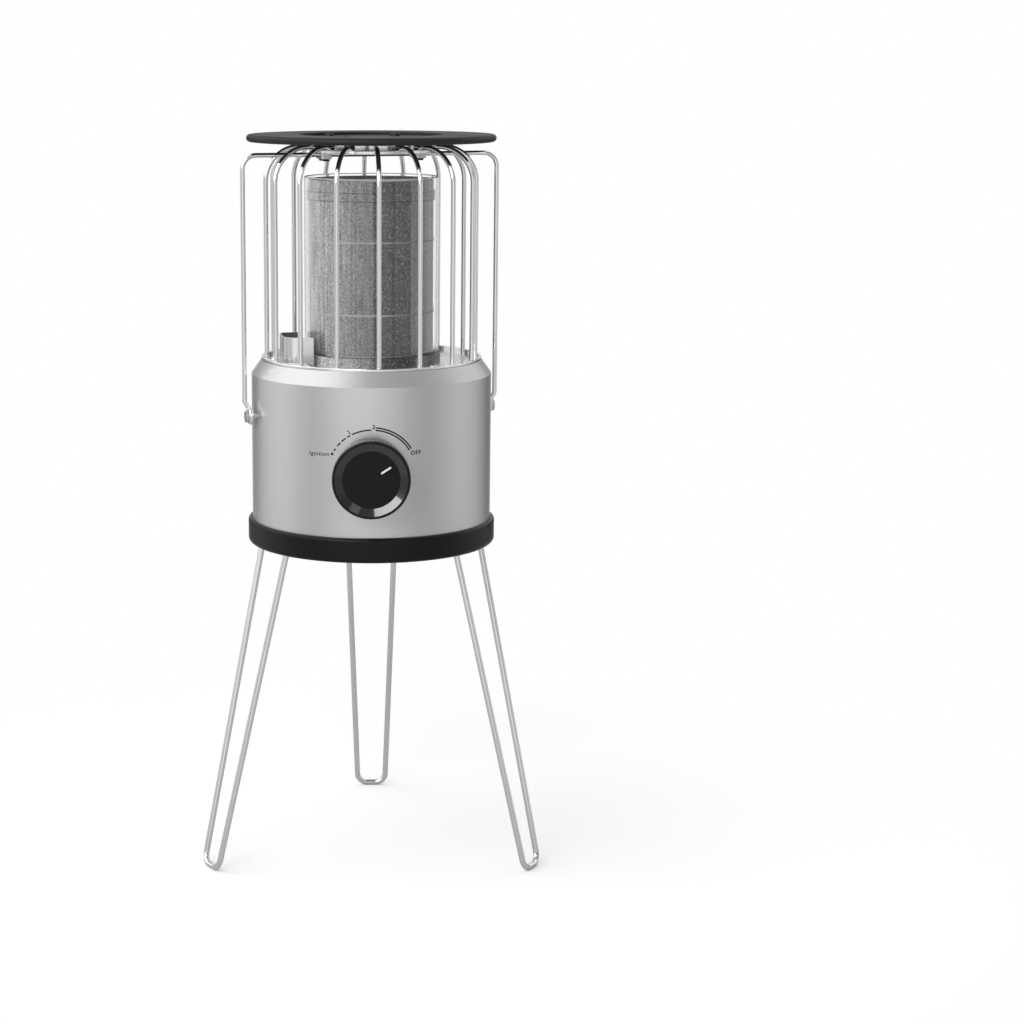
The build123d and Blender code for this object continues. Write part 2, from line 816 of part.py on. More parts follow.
cap_radius = mesh_radius - mesh_wall - fit_gap
with BuildPart() as burner_cap:
    with BuildSketch(Plane.XY.offset(cap_z)):
        Circle(cap_radius)
    extrude(amount=cap_thickness)
    fillet(burner_cap.edges().group_by(Axis.Z)[-1], cap_round)
finish(burner_cap, "burner_cap")

# Glass chimney and the ring that it stands in
glass_seat_ring = turned([
    (sleeve_inner + hoop_wall - seat_gap, deck_z),
    (seat_ring_outer, deck_z),
    (seat_ring_outer, deck_z + seat_ring_height),
    (glass_radius + seat_gap, deck_z + seat_ring_height),
    (glass_radius + seat_gap, deck_z + seat_ring_base),
    (sleeve_inner + hoop_wall - seat_gap, deck_z + seat_ring_base),
])
finish(glass_seat_ring, "glass_seat_ring")

glass_chimney = ring(glass_radius - glass_wall, glass_radius, glass_z, glass_length)
finish(glass_chimney, "glass_chimney")

# Igniter shield: a sheet wall round the igniter, open towards the glass
igniter_outer = guard_inner - igniter_guard_gap
igniter_half = igniter_length / 2
igniter_inner = sqrt((glass_radius + igniter_glass_gap) ** 2 - igniter_half**2)
with BuildPart() as igniter_shield:
    for height, sheet in ((igniter_height, igniter_sheet), (igniter_foot, igniter_foot_sheet)):
        with BuildSketch(level_plane(igniter_azimuth, deck_z)):
            with BuildLine():
                FilletPolyline(
                    (igniter_inner, igniter_half),
                    (igniter_outer, igniter_half),
                    (igniter_outer, -igniter_half),
                    (igniter_inner, -igniter_half),
                    radius=igniter_corner,
                )
            trace(line_width=sheet)
        extrude(amount=height)
finish(igniter_shield, "igniter_shield")

# Spark electrode, thermocouple and tilt switch
electrode_place = polar(deck_middle, electrode_azimuth)
electrode_top_z = deck_z + electrode_above
with BuildPart() as spark_electrode:
    with BuildSketch(Plane.XY.offset(deck_z - electrode_below)):
        with Locations(electrode_place):
            Circle(electrode_radius)
    extrude(amount=electrode_below + electrode_above)
    with BuildSketch(Plane.XY.offset(deck_z)):
        with Locations(electrode_place):
            Circle(electrode_collar_radius)
    extrude(amount=electrode_collar)
finish(spark_electrode, "spark_electrode")

electrode_tip = bent_tube(
    [
        (*electrode_place, electrode_top_z),
        (*electrode_place, electrode_top_z + tip_rise),
        (*polar(deck_middle - tip_reach, electrode_azimuth), electrode_top_z + tip_rise),
    ],
    tip_bend,
    tip_radius,
)
finish(electrode_tip, "electrode_tip")

couple_place = polar(deck_middle, couple_azimuth)
with BuildPart() as thermocouple:
    with BuildSketch(Plane.XY.offset(deck_z - electrode_below)):
        with Locations(couple_place):
            Circle(couple_radius)
    extrude(amount=electrode_below + couple_above)
    with BuildSketch(Plane.XY.offset(deck_z)):
        with Locations(couple_place):
            RegularPolygon(couple_nut_radius, 6)
    extrude(amount=couple_nut)
finish(thermocouple, "thermocouple")

with BuildPart() as tilt_switch:
    with BuildSketch(Plane.XY.offset(chassis_top_z)):
        with Locations(tilt_place):
            RectangleRounded(tilt_size, tilt_size, tilt_round)
    extrude(amount=tilt_height)
finish(tilt_switch, "tilt_switch")

# Valve bracket, bonnet and body
valve_screw_spread = valve_width - 2 * valve_round - screw_m3
with BuildPart() as valve_bracket:
    with BuildSketch(front_plane(bonnet_front, chassis_top_z)):
        with Locations((0, (knob_z + bracket_top - chassis_top_z) / 2)):
            Rectangle(bracket_width, knob_z + bracket_top - chassis_top_z)
    extrude(amount=bracket_sheet)
    with BuildSketch(Plane.XY.offset(chassis_top_z)):
        with Locations((0, -bracket_foot_middle)):
            Rectangle(bracket_width, bracket_foot)
    extrude(amount=bracket_sheet)
    with BuildSketch(front_plane(bonnet_front)):
        Circle(stem_radius + 2 * through_gap)
        with GridLocations(valve_screw_spread, valve_screw_spread, 2, 2):
            Circle(screw_m3 + through_gap)
    extrude(amount=bracket_sheet, mode=Mode.SUBTRACT)
    with BuildSketch(Plane.XY.offset(chassis_top_z)):
        with Locations((-bracket_screw_x, -bracket_foot_middle),
                       (bracket_screw_x, -bracket_foot_middle)):
            Circle(screw_m3 + through_gap)
    extrude(amount=bracket_sheet, mode=Mode.SUBTRACT)
finish(valve_bracket, "valve_bracket")

with BuildPart() as valve_bonnet:
    with BuildSketch(front_plane(valve_front)):
        RectangleRounded(valve_width, valve_width, valve_round)
        with GridLocations(valve_screw_spread, valve_screw_spread, 2, 2):
            Circle(screw_m3, mode=Mode.SUBTRACT)
    extrude(amount=bonnet_length)
    with BuildSketch(front_plane(valve_front)):
        Circle(bonnet_cavity_radius)
    extrude(amount=bonnet_length - bonnet_wall, mode=Mode.SUBTRACT)
    with BuildSketch(front_plane(valve_front)):
        Circle(stem_radius + running_gap)
    extrude(amount=bonnet_length, mode=Mode.SUBTRACT)
finish(valve_bonnet, "valve_bonnet")

with BuildPart() as valve_body:
    with BuildSketch(front_plane(valve_back)):
        RectangleRounded(valve_width, valve_width, valve_round)
    extrude(amount=valve_length)
    with BuildSketch(Plane(origin=(0, port_y, knob_z), z_dir=(1, 0, 0))):
        Circle(port_boss_radius)
    extrude(amount=valve_width / 2 + port_boss)
    with BuildSketch(Plane(origin=(0, port_y, knob_z), z_dir=(0, 0, -1))):
        Circle(port_boss_radius)
    extrude(amount=valve_width / 2 + port_boss)
    with BuildSketch(front_plane(valve_back)):
        Circle(stem_tail_radius + running_gap)
    extrude(amount=valve_length, mode=Mode.SUBTRACT)
    with BuildSketch(front_plane(valve_back)):
        Circle(magnet_nose_radius + fit_gap)
    extrude(amount=magnet_nose + seat_gap, mode=Mode.SUBTRACT)
    for direction in ((1, 0, 0), (0, 0, -1)):
        port = Plane(origin=(0, port_y, knob_z), z_dir=direction)
        with BuildSketch(port):
            Circle(pipe_bore)
        extrude(amount=valve_width, mode=Mode.SUBTRACT)
        with BuildSketch(port.offset(valve_width / 2 + port_boss - pipe_insert)):
            Circle(pipe_radius + fit_gap)
        extrude(amount=valve_width, mode=Mode.SUBTRACT)
    with BuildSketch(front_plane(valve_front)):
        with GridLocations(valve_screw_spread, valve_screw_spread, 2, 2):
            Circle(screw_m3)
    extrude(amount=-screw_length, mode=Mode.SUBTRACT)
finish(valve_body, "valve_body")

half_spread = valve_screw_spread / 2
with BuildPart() as valve_screws:
    for side in (-half_spread, half_spread):
        for height in (-half_spread, half_spread):
            with Locations(Plane(origin=(side, -bracket_front, knob_z + height),
                                 z_dir=(0, -1, 0)).location):
                add(screw(screw_m3, bracket_sheet + bonnet_length + screw_length / 2))
    for side in (-bracket_screw_x, bracket_screw_x):
        with Locations((side, -bracket_foot_middle, chassis_top_z + bracket_sheet)):
            add(screw(screw_m3, bracket_sheet + 2 * chassis_thickness))
finish(valve_screws, "valve_screws")

# Stem, return spring and the pin that lifts the safety valve
valve_stem_outline = [
    (web_back - seat_gap, 0),
    (web_back - seat_gap, stem_radius),
    (collar_front, stem_radius),
    (collar_front, collar_radius),
    (collar_back, collar_radius),
    (collar_back, stem_tail_radius),
    (stem_back, stem_tail_radius),
    (stem_back, spigot_radius + running_gap),
    (stem_back + spigot_length + spigot_end_gap, spigot_radius + running_gap),
    (stem_back + spigot_length + spigot_end_gap, 0),
]
with BuildPart() as valve_stem:
    with BuildSketch(knob_profile):
        with BuildLine():
            Polyline(*valve_stem_outline, close=True)
        make_face()
    revolve(axis=knob_axis)
    with BuildSketch(front_plane(knob_back)):
        with Locations((0, stem_flat + stem_radius / 2)):
            Rectangle(2 * stem_radius, stem_radius)
    extrude(amount=web_back - knob_back, mode=Mode.SUBTRACT)
finish(valve_stem, "valve_stem")

push_pin = turned([
    (stem_back + spigot_length, 0),
    (stem_back + spigot_length, spigot_radius),
    (pin_front, spigot_radius),
    (pin_front, stem_tail_radius),
    (pin_back, stem_tail_radius),
    (pin_back, pin_tip_radius),
    (pin_back - pin_tip_length, pin_tip_radius),
    (pin_back - pin_tip_length, 0),
], knob_profile, knob_axis)
finish(push_pin, "push_pin")

spring_length = collar_back - valve_front - spring_wire - 2 * fit_gap
spring_start = (0, -(valve_front + spring_wire / 2 + fit_gap), knob_z)
with BuildPart() as stem_spring:
    with BuildLine() as coil:
        Helix(spring_length / spring_turns, spring_length, spring_radius, spring_start, (0, -1, 0))
    with BuildSketch(Plane(origin=coil.line @ 0, z_dir=coil.line % 0)):
        Circle(spring_wire / 2)
    sweep(path=coil.line, is_frenet=True)
finish(stem_spring, "stem_spring")

magnet_unit = turned([
    (valve_back + magnet_nose, magnet_bore),
    (valve_back + magnet_nose, magnet_nose_radius),
    (valve_back, magnet_nose_radius),
    (valve_back, magnet_radius),
    (magnet_back, magnet_radius),
    (magnet_back, magnet_stud_radius),
    (magnet_back - magnet_stud, magnet_stud_radius),
    (magnet_back - magnet_stud, 0),
    (valve_back, 0),
    (valve_back, magnet_bore),
], knob_profile, knob_axis)
finish(magnet_unit, "magnet_unit")

# Gas inlet, clamped in the back of the drum by its nut
inlet_face = sqrt(inner_radius**2 - inlet_flange_radius**2) - seat_gap
inlet_inner_end = inlet_face - inlet_flange - inlet_tail
inlet_nut_face = body_radius + fit_gap
inlet_shoulder = inlet_nut_face + inlet_nut_height + seat_gap
inlet_end = inlet_shoulder + inlet_stub
gas_inlet_fitting = turned([
    (inlet_inner_end, pipe_radius + fit_gap),
    (inlet_inner_end, inlet_tail_radius),
    (inlet_inner_end + inlet_tail, inlet_tail_radius),
    (inlet_inner_end + inlet_tail, inlet_flange_radius),
    (inlet_face, inlet_flange_radius),
    (inlet_face, inlet_thread_radius),
    (inlet_shoulder, inlet_thread_radius),
    (inlet_shoulder, inlet_stub_radius),
    (inlet_end, inlet_stub_radius),
    (inlet_end, inlet_bore),
    (inlet_inner_end + pipe_insert, inlet_bore),
    (inlet_inner_end + pipe_insert, pipe_radius + fit_gap),
], inlet_profile, inlet_axis)
finish(gas_inlet_fitting, "gas_inlet_fitting")

with BuildPart() as inlet_nut:
    with BuildSketch(rear_plane(inlet_nut_face)):
        RegularPolygon(inlet_nut_across / 2, 6, major_radius=False)
        Circle(inlet_thread_radius + screw_gap, mode=Mode.SUBTRACT)
    extrude(amount=inlet_nut_height)
finish(inlet_nut, "inlet_nut")

# Pipes: inlet to valve, and valve to injector
port_reach = valve_width / 2 + port_boss - pipe_insert
inlet_pipe_route = [
    (0, inlet_inner_end + pipe_insert - fit_gap, inlet_z),
    (0, inlet_pipe_rear, inlet_z),
    (inlet_pipe_side, inlet_pipe_turn, inlet_z),
    (inlet_pipe_side, port_y / 2, (inlet_z + knob_z) / 2),
    (inlet_pipe_side, port_y, knob_z),
    (port_reach + fit_gap, port_y, knob_z),
]
inlet_pipe = bent_tube(inlet_pipe_route, pipe_bend, pipe_radius, pipe_bore)
finish(inlet_pipe, "inlet_pipe")

outlet_pipe_route = [
    (0, port_y, knob_z - port_reach - fit_gap),
    (0, port_y, outlet_z),
    (0, -(holder_radius - pipe_insert + fit_gap), outlet_z),
]
outlet_pipe = bent_tube(outlet_pipe_route, outlet_bend, pipe_radius, pipe_bore)
finish(outlet_pipe, "outlet_pipe")

# Piezo igniter beside the valve, and the three leads
piezo_x = -(valve_width / 2 + seat_gap + piezo_radius)
piezo_z = knob_z + piezo_rise
piezo_front = valve_front - piezo_setback
with BuildPart() as piezo_igniter:
    with BuildSketch(front_plane(piezo_front, piezo_z)):
        with Locations((piezo_x, 0)):
            RectangleRounded(2 * piezo_radius, 2 * piezo_radius, piezo_radius / 2)
    extrude(amount=-piezo_length)
finish(piezo_igniter, "piezo_igniter")

lead_end_z = deck_z - electrode_below
piezo_back_y = -(piezo_front - piezo_length)
ignition_route = [
    (piezo_x, piezo_back_y, piezo_z),
    (piezo_x, piezo_back_y + lead_start, piezo_z),
    (*polar(deck_middle - lead_inset, electrode_azimuth), piezo_z + lead_climb),
    (*electrode_place, lead_end_z - lead_drop),
    (*electrode_place, lead_end_z),
]
ignition_lead = bent_tube(ignition_route, lead_bend, lead_radius)
finish(ignition_lead, "ignition_lead")

magnet_end_y = -(magnet_back - magnet_stud)
couple_route = [
    (0, magnet_end_y, knob_z),
    (0, magnet_end_y + couple_start, knob_z),
    (couple_turn[0], magnet_end_y + couple_turn[1], knob_z + couple_turn[2]),
    (*polar(deck_middle - couple_inset, couple_azimuth), knob_z + couple_climb),
    (*couple_place, lead_end_z - couple_drop),
    (*couple_place, lead_end_z),
]
thermocouple_lead = bent_tube(couple_route, couple_bend, lead_radius)
finish(thermocouple_lead, "thermocouple_lead")

tilt_front_y = tilt_place[1] - tilt_size / 2
tilt_lead_z = chassis_top_z + tilt_height / 2
magnet_middle_y = -(magnet_back + magnet_length / 2)
tilt_route = [
    (tilt_place[0], tilt_front_y, tilt_lead_z),
    (tilt_place[0], tilt_front_y - tilt_lead_run, tilt_lead_z),
    (-tilt_lead_side, magnet_middle_y, knob_z - magnet_radius - tilt_lead_drop),
    (0, magnet_middle_y, knob_z - magnet_radius - tilt_lead_drop),
    (0, magnet_middle_y, knob_z - magnet_radius),
]
tilt_switch_lead = bent_tube(tilt_route, tilt_lead_bend, lead_radius)
finish(tilt_switch_lead, "tilt_switch_lead")

# Knob with its face disc and pointer
with BuildPart() as knob:
    with BuildSketch(knob_profile):
        with BuildLine():
            Polyline(
                (knob_back, 0),
                (knob_back, knob_hub_radius),
                (web_back, knob_hub_radius),
                (web_back, knob_radius - knob_skirt_wall),
                (knob_back, knob_radius - knob_skirt_wall),
                (knob_back, knob_radius),
                (knob_front, knob_radius),
                (knob_front, knob_radius - knob_edge),
                (face_front, knob_face_radius),
                (pocket_floor, knob_face_radius),
                (pocket_floor, 0),
                close=True,
            )
        make_face()
    revolve(axis=knob_axis)
    front_edge = knob.edges().filter_by(GeomType.CIRCLE).group_by(SortBy.RADIUS)[-1]
    fillet(front_edge.sort_by(Axis.Y)[0], knob_front_round)
    with BuildSketch(front_plane(knob_back)):
        Circle(stem_radius + running_gap)
        with Locations((0, stem_flat + running_gap + stem_radius / 2)):
            Rectangle(3 * stem_radius, stem_radius, mode=Mode.SUBTRACT)
    extrude(amount=web_back - knob_back, mode=Mode.SUBTRACT)
    with BuildSketch(front_plane(knob_back)):
        with PolarLocations(knob_radius + knurl_out, knurl_count):
            Circle(knurl_radius)
    extrude(amount=knob_front - knob_back - knurl_front_margin, mode=Mode.SUBTRACT)
finish(knob, "knob")

pointer_length = pointer_end - pointer_start
pointer_middle = polar((pointer_start + pointer_end) / 2, pointer_angle)
with BuildPart() as knob_face:
    with BuildSketch(front_plane(pocket_floor)):
        Circle(knob_face_radius - fit_gap)
    extrude(amount=knob_face_thickness)
    with BuildSketch(front_plane(face_front)):
        with Locations(pointer_middle):
            SlotOverall(pointer_length, pointer_width, rotation=pointer_angle)
    extrude(amount=-pointer_depth, mode=Mode.SUBTRACT)
finish(knob_face, "knob_face")

with BuildPart() as knob_pointer:
    with BuildSketch(front_plane(face_front - pointer_depth)):
        with Locations(pointer_middle):
            SlotOverall(pointer_length - fit_gap, pointer_width - fit_gap, rotation=pointer_angle)
    extrude(amount=pointer_depth + pointer_proud)
finish(knob_pointer, "knob_pointer")

# Guard: wires that stand in the deck and turn in under the hub ring
with BuildPart() as guard_one:
    with BuildLine(upright_plane(0)) as route:
        FilletPolyline(
            (guard_radius, deck_z - guard_below),
            (guard_radius, guard_top_z),
            (guard_inner_end, guard_top_z),
            radius=guard_bend,
        )
    with BuildSketch(Plane(origin=route.line @ 0, z_dir=route.line % 0)):
        Circle(guard_wire / 2)
    sweep(path=route.line)
with BuildPart() as cage_wires:
    with PolarLocations(0, guard_count, start_angle=guard_phase):
        add(guard_one.part)
finish(cage_wires, "cage_wires")

clip_screw_places = [
    outward(azimuth) * clip_radius + across(azimuth) * offset
    for azimuth in (bail_azimuth, bail_azimuth + 180)
    for offset in (-clip_screw_spread / 2, clip_screw_spread / 2)
]
with BuildPart() as guard_hub_ring:
    with BuildSketch(Plane.XY.offset(hub_z)):
        Circle(hub_radius)
        Circle(hub_bore, mode=Mode.SUBTRACT)
        with Locations(*[(place.X, place.Y) for place in clip_screw_places]):
            Circle(screw_m3, mode=Mode.SUBTRACT)
        with PolarLocations(plate_screw_circle, plate_screw_count, start_angle=plate_screw_phase):
            Circle(screw_m4, mode=Mode.SUBTRACT)
    extrude(amount=hub_thickness)
finish(guard_hub_ring, "guard_hub_ring")

reflector_z = reflector_top_z - reflector_depth
with BuildPart() as reflector:
    with BuildSketch(Plane.XY.offset(reflector_z)):
        Circle(reflector_radius)
    extrude(amount=reflector_depth)
    fillet(reflector.edges().group_by(Axis.Z)[-1], reflector_sheet)
    with BuildSketch(Plane.XY.offset(reflector_z)):
        Circle(reflector_radius - reflector_sheet)
    extrude(amount=reflector_depth - reflector_sheet, mode=Mode.SUBTRACT)
    with BuildSketch(Plane.XY.offset(reflector_z)):
        with Locations(*[(place.X, place.Y) for place in clip_screw_places]):
            Circle(screw_m3 + through_gap)
    extrude(amount=reflector_depth, mode=Mode.SUBTRACT)
finish(reflector, "reflector")

# Bail: its bar crosses under the reflector, and an eye at each foot sits on a stud
bail_half = [
    (eye_plane_radius, stud_z),
    (eye_plane_radius, stud_z + bail_joggle_rise),
    (bail_radius, stud_z + bail_joggle_rise + bail_joggle_height),
    (bail_radius, bar_z),
]
with BuildPart() as hold_down_bail:
    with BuildLine(upright_plane(bail_azimuth)) as route:
        FilletPolyline(
            *bail_half,
            *[(-radius, z) for radius, z in reversed(bail_half)],
            radius=[bail_joggle_bend, bail_joggle_bend, bail_bend,
                    bail_bend, bail_joggle_bend, bail_joggle_bend],
        )
    with BuildSketch(Plane(origin=route.line @ 0, z_dir=route.line % 0)):
        Circle(bail_wire / 2)
    sweep(path=route.line)
    for azimuth in (bail_azimuth, bail_azimuth + 180):
        with BuildLine(side_plane(azimuth, eye_plane_radius, stud_z)) as eye:
            CenterArc((eye_radius, 0), eye_radius, 180, eye_turn)
        with BuildSketch(Plane(origin=eye.line @ 0, z_dir=eye.line % 0)):
            Circle(bail_wire / 2)
        sweep(path=eye.line)
finish(hold_down_bail, "hold_down_bail")

# Shoulder studs through the drum wall, each with a nut inside
stud_radius = eye_radius - bail_wire / 2 - stud_gap
stud_seat = sqrt(body_radius**2 - (eye_radius - stud_flange_radius) ** 2) + fit_gap
stud_head_start = eye_plane_radius + bail_wire / 2 + stud_gap
stud_places = [side_plane(azimuth, 0, stud_z) for azimuth in (bail_azimuth, bail_azimuth + 180)]
with BuildPart() as bail_studs:
    for place in stud_places:
        sections = (
            (stud_seat, stud_head_start + stud_head, stud_radius),
            (stud_head_start, stud_head_start + stud_head, stud_head_radius),
            (stud_seat - stud_thread, stud_seat, stud_thread_radius),
        )
        for start, end, radius in sections:
            with BuildSketch(place.offset(start)):
                with Locations((eye_radius, 0)):
                    Circle(radius)
            extrude(amount=end - start)
finish(bail_studs, "bail_studs")

nut_face = sqrt(inner_radius**2 - (eye_radius + stud_nut_across / 2) ** 2) - fit_gap
with BuildPart() as stud_nuts:
    for place in stud_places:
        with BuildSketch(place.offset(nut_face)):
            with Locations((eye_radius, 0)):
                RegularPolygon(stud_nut_across / 2, 6, major_radius=False)
                Circle(stud_thread_radius + screw_gap, mode=Mode.SUBTRACT)
        extrude(amount=-stud_nut_height)
finish(stud_nuts, "stud_nuts")

# Clips that hold the bail's bar up against the reflector
clip_top_z = reflector_top_z - reflector_sheet
clip_bottom_z = bar_z - bail_wire / 2 - clip_floor
with BuildPart() as bail_clips:
    for azimuth in (bail_azimuth, bail_azimuth + 180):
        with BuildSketch(level_plane(azimuth, clip_bottom_z)):
            with Locations((clip_radius, 0)):
                RectangleRounded(clip_width, clip_length, clip_round)
            with Locations((clip_radius, clip_screw_spread / 2),
                           (clip_radius, -clip_screw_spread / 2)):
                Circle(screw_m3 + through_gap, mode=Mode.SUBTRACT)
        extrude(amount=clip_top_z - clip_bottom_z)
        with BuildSketch(side_plane(azimuth, clip_radius - clip_width, bar_z)):
            SlotOverall(4 * bail_wire, bail_wire + 2 * fit_gap, rotation=90)
            with Locations((0, -bail_wire)):
                Rectangle(2 * bail_wire, 2 * bail_wire, mode=Mode.SUBTRACT)
            Circle(bail_wire / 2 + fit_gap)
        extrude(amount=2 * clip_width, mode=Mode.SUBTRACT)
finish(bail_clips, "bail_clips")

# Top plate, dished in the middle round the screws that fix it to the hub ring
plate_top_z = plate_z + plate_thickness
with BuildPart() as top_plate:
    with BuildSketch(Plane.XY.offset(plate_z)):
        Circle(plate_radius)
    extrude(amount=plate_thickness)
    fillet(top_plate.edges(), plate_round)
    with BuildSketch(Plane.XY.offset(plate_top_z)):
        Circle(recess_radius)
    extrude(amount=-recess_depth, mode=Mode.SUBTRACT)
    recess_edges = top_plate.edges().filter_by(GeomType.CIRCLE).group_by(Axis.Z)[-1]
    fillet(recess_edges.sort_by(SortBy.RADIUS)[0], recess_round)
    with BuildSketch(Plane.XY.offset(plate_z)):
        with PolarLocations(plate_screw_circle, plate_screw_count, start_angle=plate_screw_phase):
            Circle(screw_m4 + through_gap)
    extrude(amount=plate_thickness, mode=Mode.SUBTRACT)
finish(top_plate, "top_plate")

with BuildPart() as guard_screws:
    with PolarLocations(plate_screw_circle, plate_screw_count, start_angle=plate_screw_phase):
        with Locations((0, 0, plate_top_z - recess_depth)):
            add(screw(screw_m4, plate_thickness - recess_depth + hub_thickness))
    for place in clip_screw_places:
        with Locations(Plane(origin=(place.X, place.Y, clip_bottom_z), z_dir=(0, 0, -1)).location):
            add(screw(screw_m3, plate_z - clip_bottom_z))
finish(guard_screws, "guard_screws")
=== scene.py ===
import math
import bmesh
import bpy
from mathutils import Matrix, Quaternion, Vector


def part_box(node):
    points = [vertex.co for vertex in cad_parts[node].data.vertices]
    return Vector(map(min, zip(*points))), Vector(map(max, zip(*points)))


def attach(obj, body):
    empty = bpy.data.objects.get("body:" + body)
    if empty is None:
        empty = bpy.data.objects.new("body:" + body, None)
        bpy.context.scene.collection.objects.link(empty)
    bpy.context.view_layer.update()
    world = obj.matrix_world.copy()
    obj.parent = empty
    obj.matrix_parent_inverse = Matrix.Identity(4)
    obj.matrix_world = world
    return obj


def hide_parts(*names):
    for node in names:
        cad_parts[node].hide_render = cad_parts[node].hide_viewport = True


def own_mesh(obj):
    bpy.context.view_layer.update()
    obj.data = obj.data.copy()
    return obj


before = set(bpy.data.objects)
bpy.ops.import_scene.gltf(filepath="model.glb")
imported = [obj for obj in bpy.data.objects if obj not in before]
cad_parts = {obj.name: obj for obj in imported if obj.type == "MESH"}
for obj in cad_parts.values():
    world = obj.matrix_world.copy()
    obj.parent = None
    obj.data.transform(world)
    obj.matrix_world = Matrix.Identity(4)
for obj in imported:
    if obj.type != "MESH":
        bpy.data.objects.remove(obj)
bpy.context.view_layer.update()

print("frame loaded,", len(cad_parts), "nodes")

# Camera

camera = {"place": (0, -1.765644, 0.600956), "down": 0.191, "lens": 83.115, "sensor": 36, "shift": 0.13737}
cameraData = bpy.data.cameras.new("studioCamera")
cameraData.lens = camera["lens"]
cameraData.sensor_width = camera["sensor"]
cameraData.shift_x = camera["shift"]
studioCamera = bpy.data.objects.new("studioCamera", cameraData)
studioCamera.location = camera["place"]
studioCamera.rotation_euler = (math.pi / 2 - camera["down"], 0, 0)
bpy.context.collection.objects.link(studioCamera)
bpy.context.scene.camera = studioCamera
bpy.context.scene.view_settings.view_transform = "Standard"
print("camera placed")

# Shader nodes


class Signal:  # a socket that sums can be written with
    def __init__(self, tree, socket):
        self.tree = tree
        self.socket = socket

    def pick(self, name):
        return Signal(self.tree, self.socket.node.outputs[name])

    def __add__(self, other):
        return self.tree.maths("ADD", self, other)

    def __radd__(self, other):
        return self.tree.maths("ADD", other, self)

    def __sub__(self, other):
        return self.tree.maths("SUBTRACT", self, other)

    def __rsub__(self, other):
        return self.tree.maths("SUBTRACT", other, self)

    def __mul__(self, other):
        return self.tree.maths("MULTIPLY", self, other)

    def __rmul__(self, other):
        return self.tree.maths("MULTIPLY", other, self)

    def __truediv__(self, other):
        return self.tree.maths("DIVIDE", self, other)


def grey(level):
    return level, level, level, 1


class Tree:  # the nodes of a material or of the world
    def __init__(self, owner):
        owner.use_nodes = True
        self.nodes = owner.node_tree.nodes
        self.links = owner.node_tree.links

    def feed(self, socket, value):
        if isinstance(value, Signal):
            self.links.new(value.socket, socket)
        else:
            socket.default_value = value

    def node(self, kind, settings=(), sockets=(), output=0):
        made = self.nodes.new("ShaderNode" + kind)
        for name, value in dict(settings).items():
            if name == "stops":
                ramp = made.color_ramp.elements
                while len(ramp) < len(value):
                    ramp.new(0.5)
                for stop, (place, level) in zip(ramp, value):
                    stop.position = place
                    stop.color = grey(level)
            else:
                setattr(made, name, value)
        for name, value in dict(sockets).items():
            self.feed(made.inputs[name], value)
        return Signal(self, made.outputs[output])

    def maths(self, operation, *values):
        return self.node("Math", {"operation": operation}, dict(enumerate(values)))

    def wave(self, operation, angle):  # a sine or cosine, from 0 to 1
        return self.maths(operation, angle) * 0.5 + 0.5

    def reach(self, across, up):
        return self.maths("SQRT", across * across + up * up)

    def bearing(self, x, y):  # the angle round the upright axis, with the front in the middle
        return self.maths("ARCTAN2", x, y * -1)

    def ramp(self, value, stops):
        return self.node("ValToRGB", {"stops": stops}, {0: value})

    def noise(self, place, size, detail=2):
        return self.node("TexNoise", (), {"Vector": place, "Scale": 1 / size, "Detail": detail})

    def shade(self, colour, tone):  # a colour, darker or lighter by a number
        return self.node("VectorMath", {"operation": "SCALE"}, {0: colour, "Scale": tone})

    def blend(self, share, first, second):
        return self.node("Mix", {"data_type": "RGBA"}, {0: share, 6: first, 7: second}, 2)

    def bump(self, height, depth):
        return self.node("Bump", (), {"Height": height, "Distance": depth})


class Finish(Tree):  # one material, with what is the same all over set on its own sockets
    shown = {"colour": "Base Color", "roughness": "Roughness", "normal": "Normal", "coat": "Coat Weight"}

    def __init__(self, name, settled):
        self.material = bpy.data.materials.new(name)
        super().__init__(self.material)
        self.skin = self.nodes["Principled BSDF"]
        self.place = self.node("TexCoord").pick("Object")
        for socket, value in settled.items():
            self.skin.inputs[socket].default_value = value

    def show(self, **signals):
        for name, value in signals.items():
            self.feed(self.skin.inputs[self.shown[name]], value)

    def along(self):
        axes = self.node("SeparateXYZ", (), {0: self.place})
        return axes.pick("X"), axes.pick("Y"), axes.pick("Z")

    def ripple(self, size, detail=3):  # noise either side of nought
        return self.noise(self.place, size, detail) - 0.5


# White studio and lamps

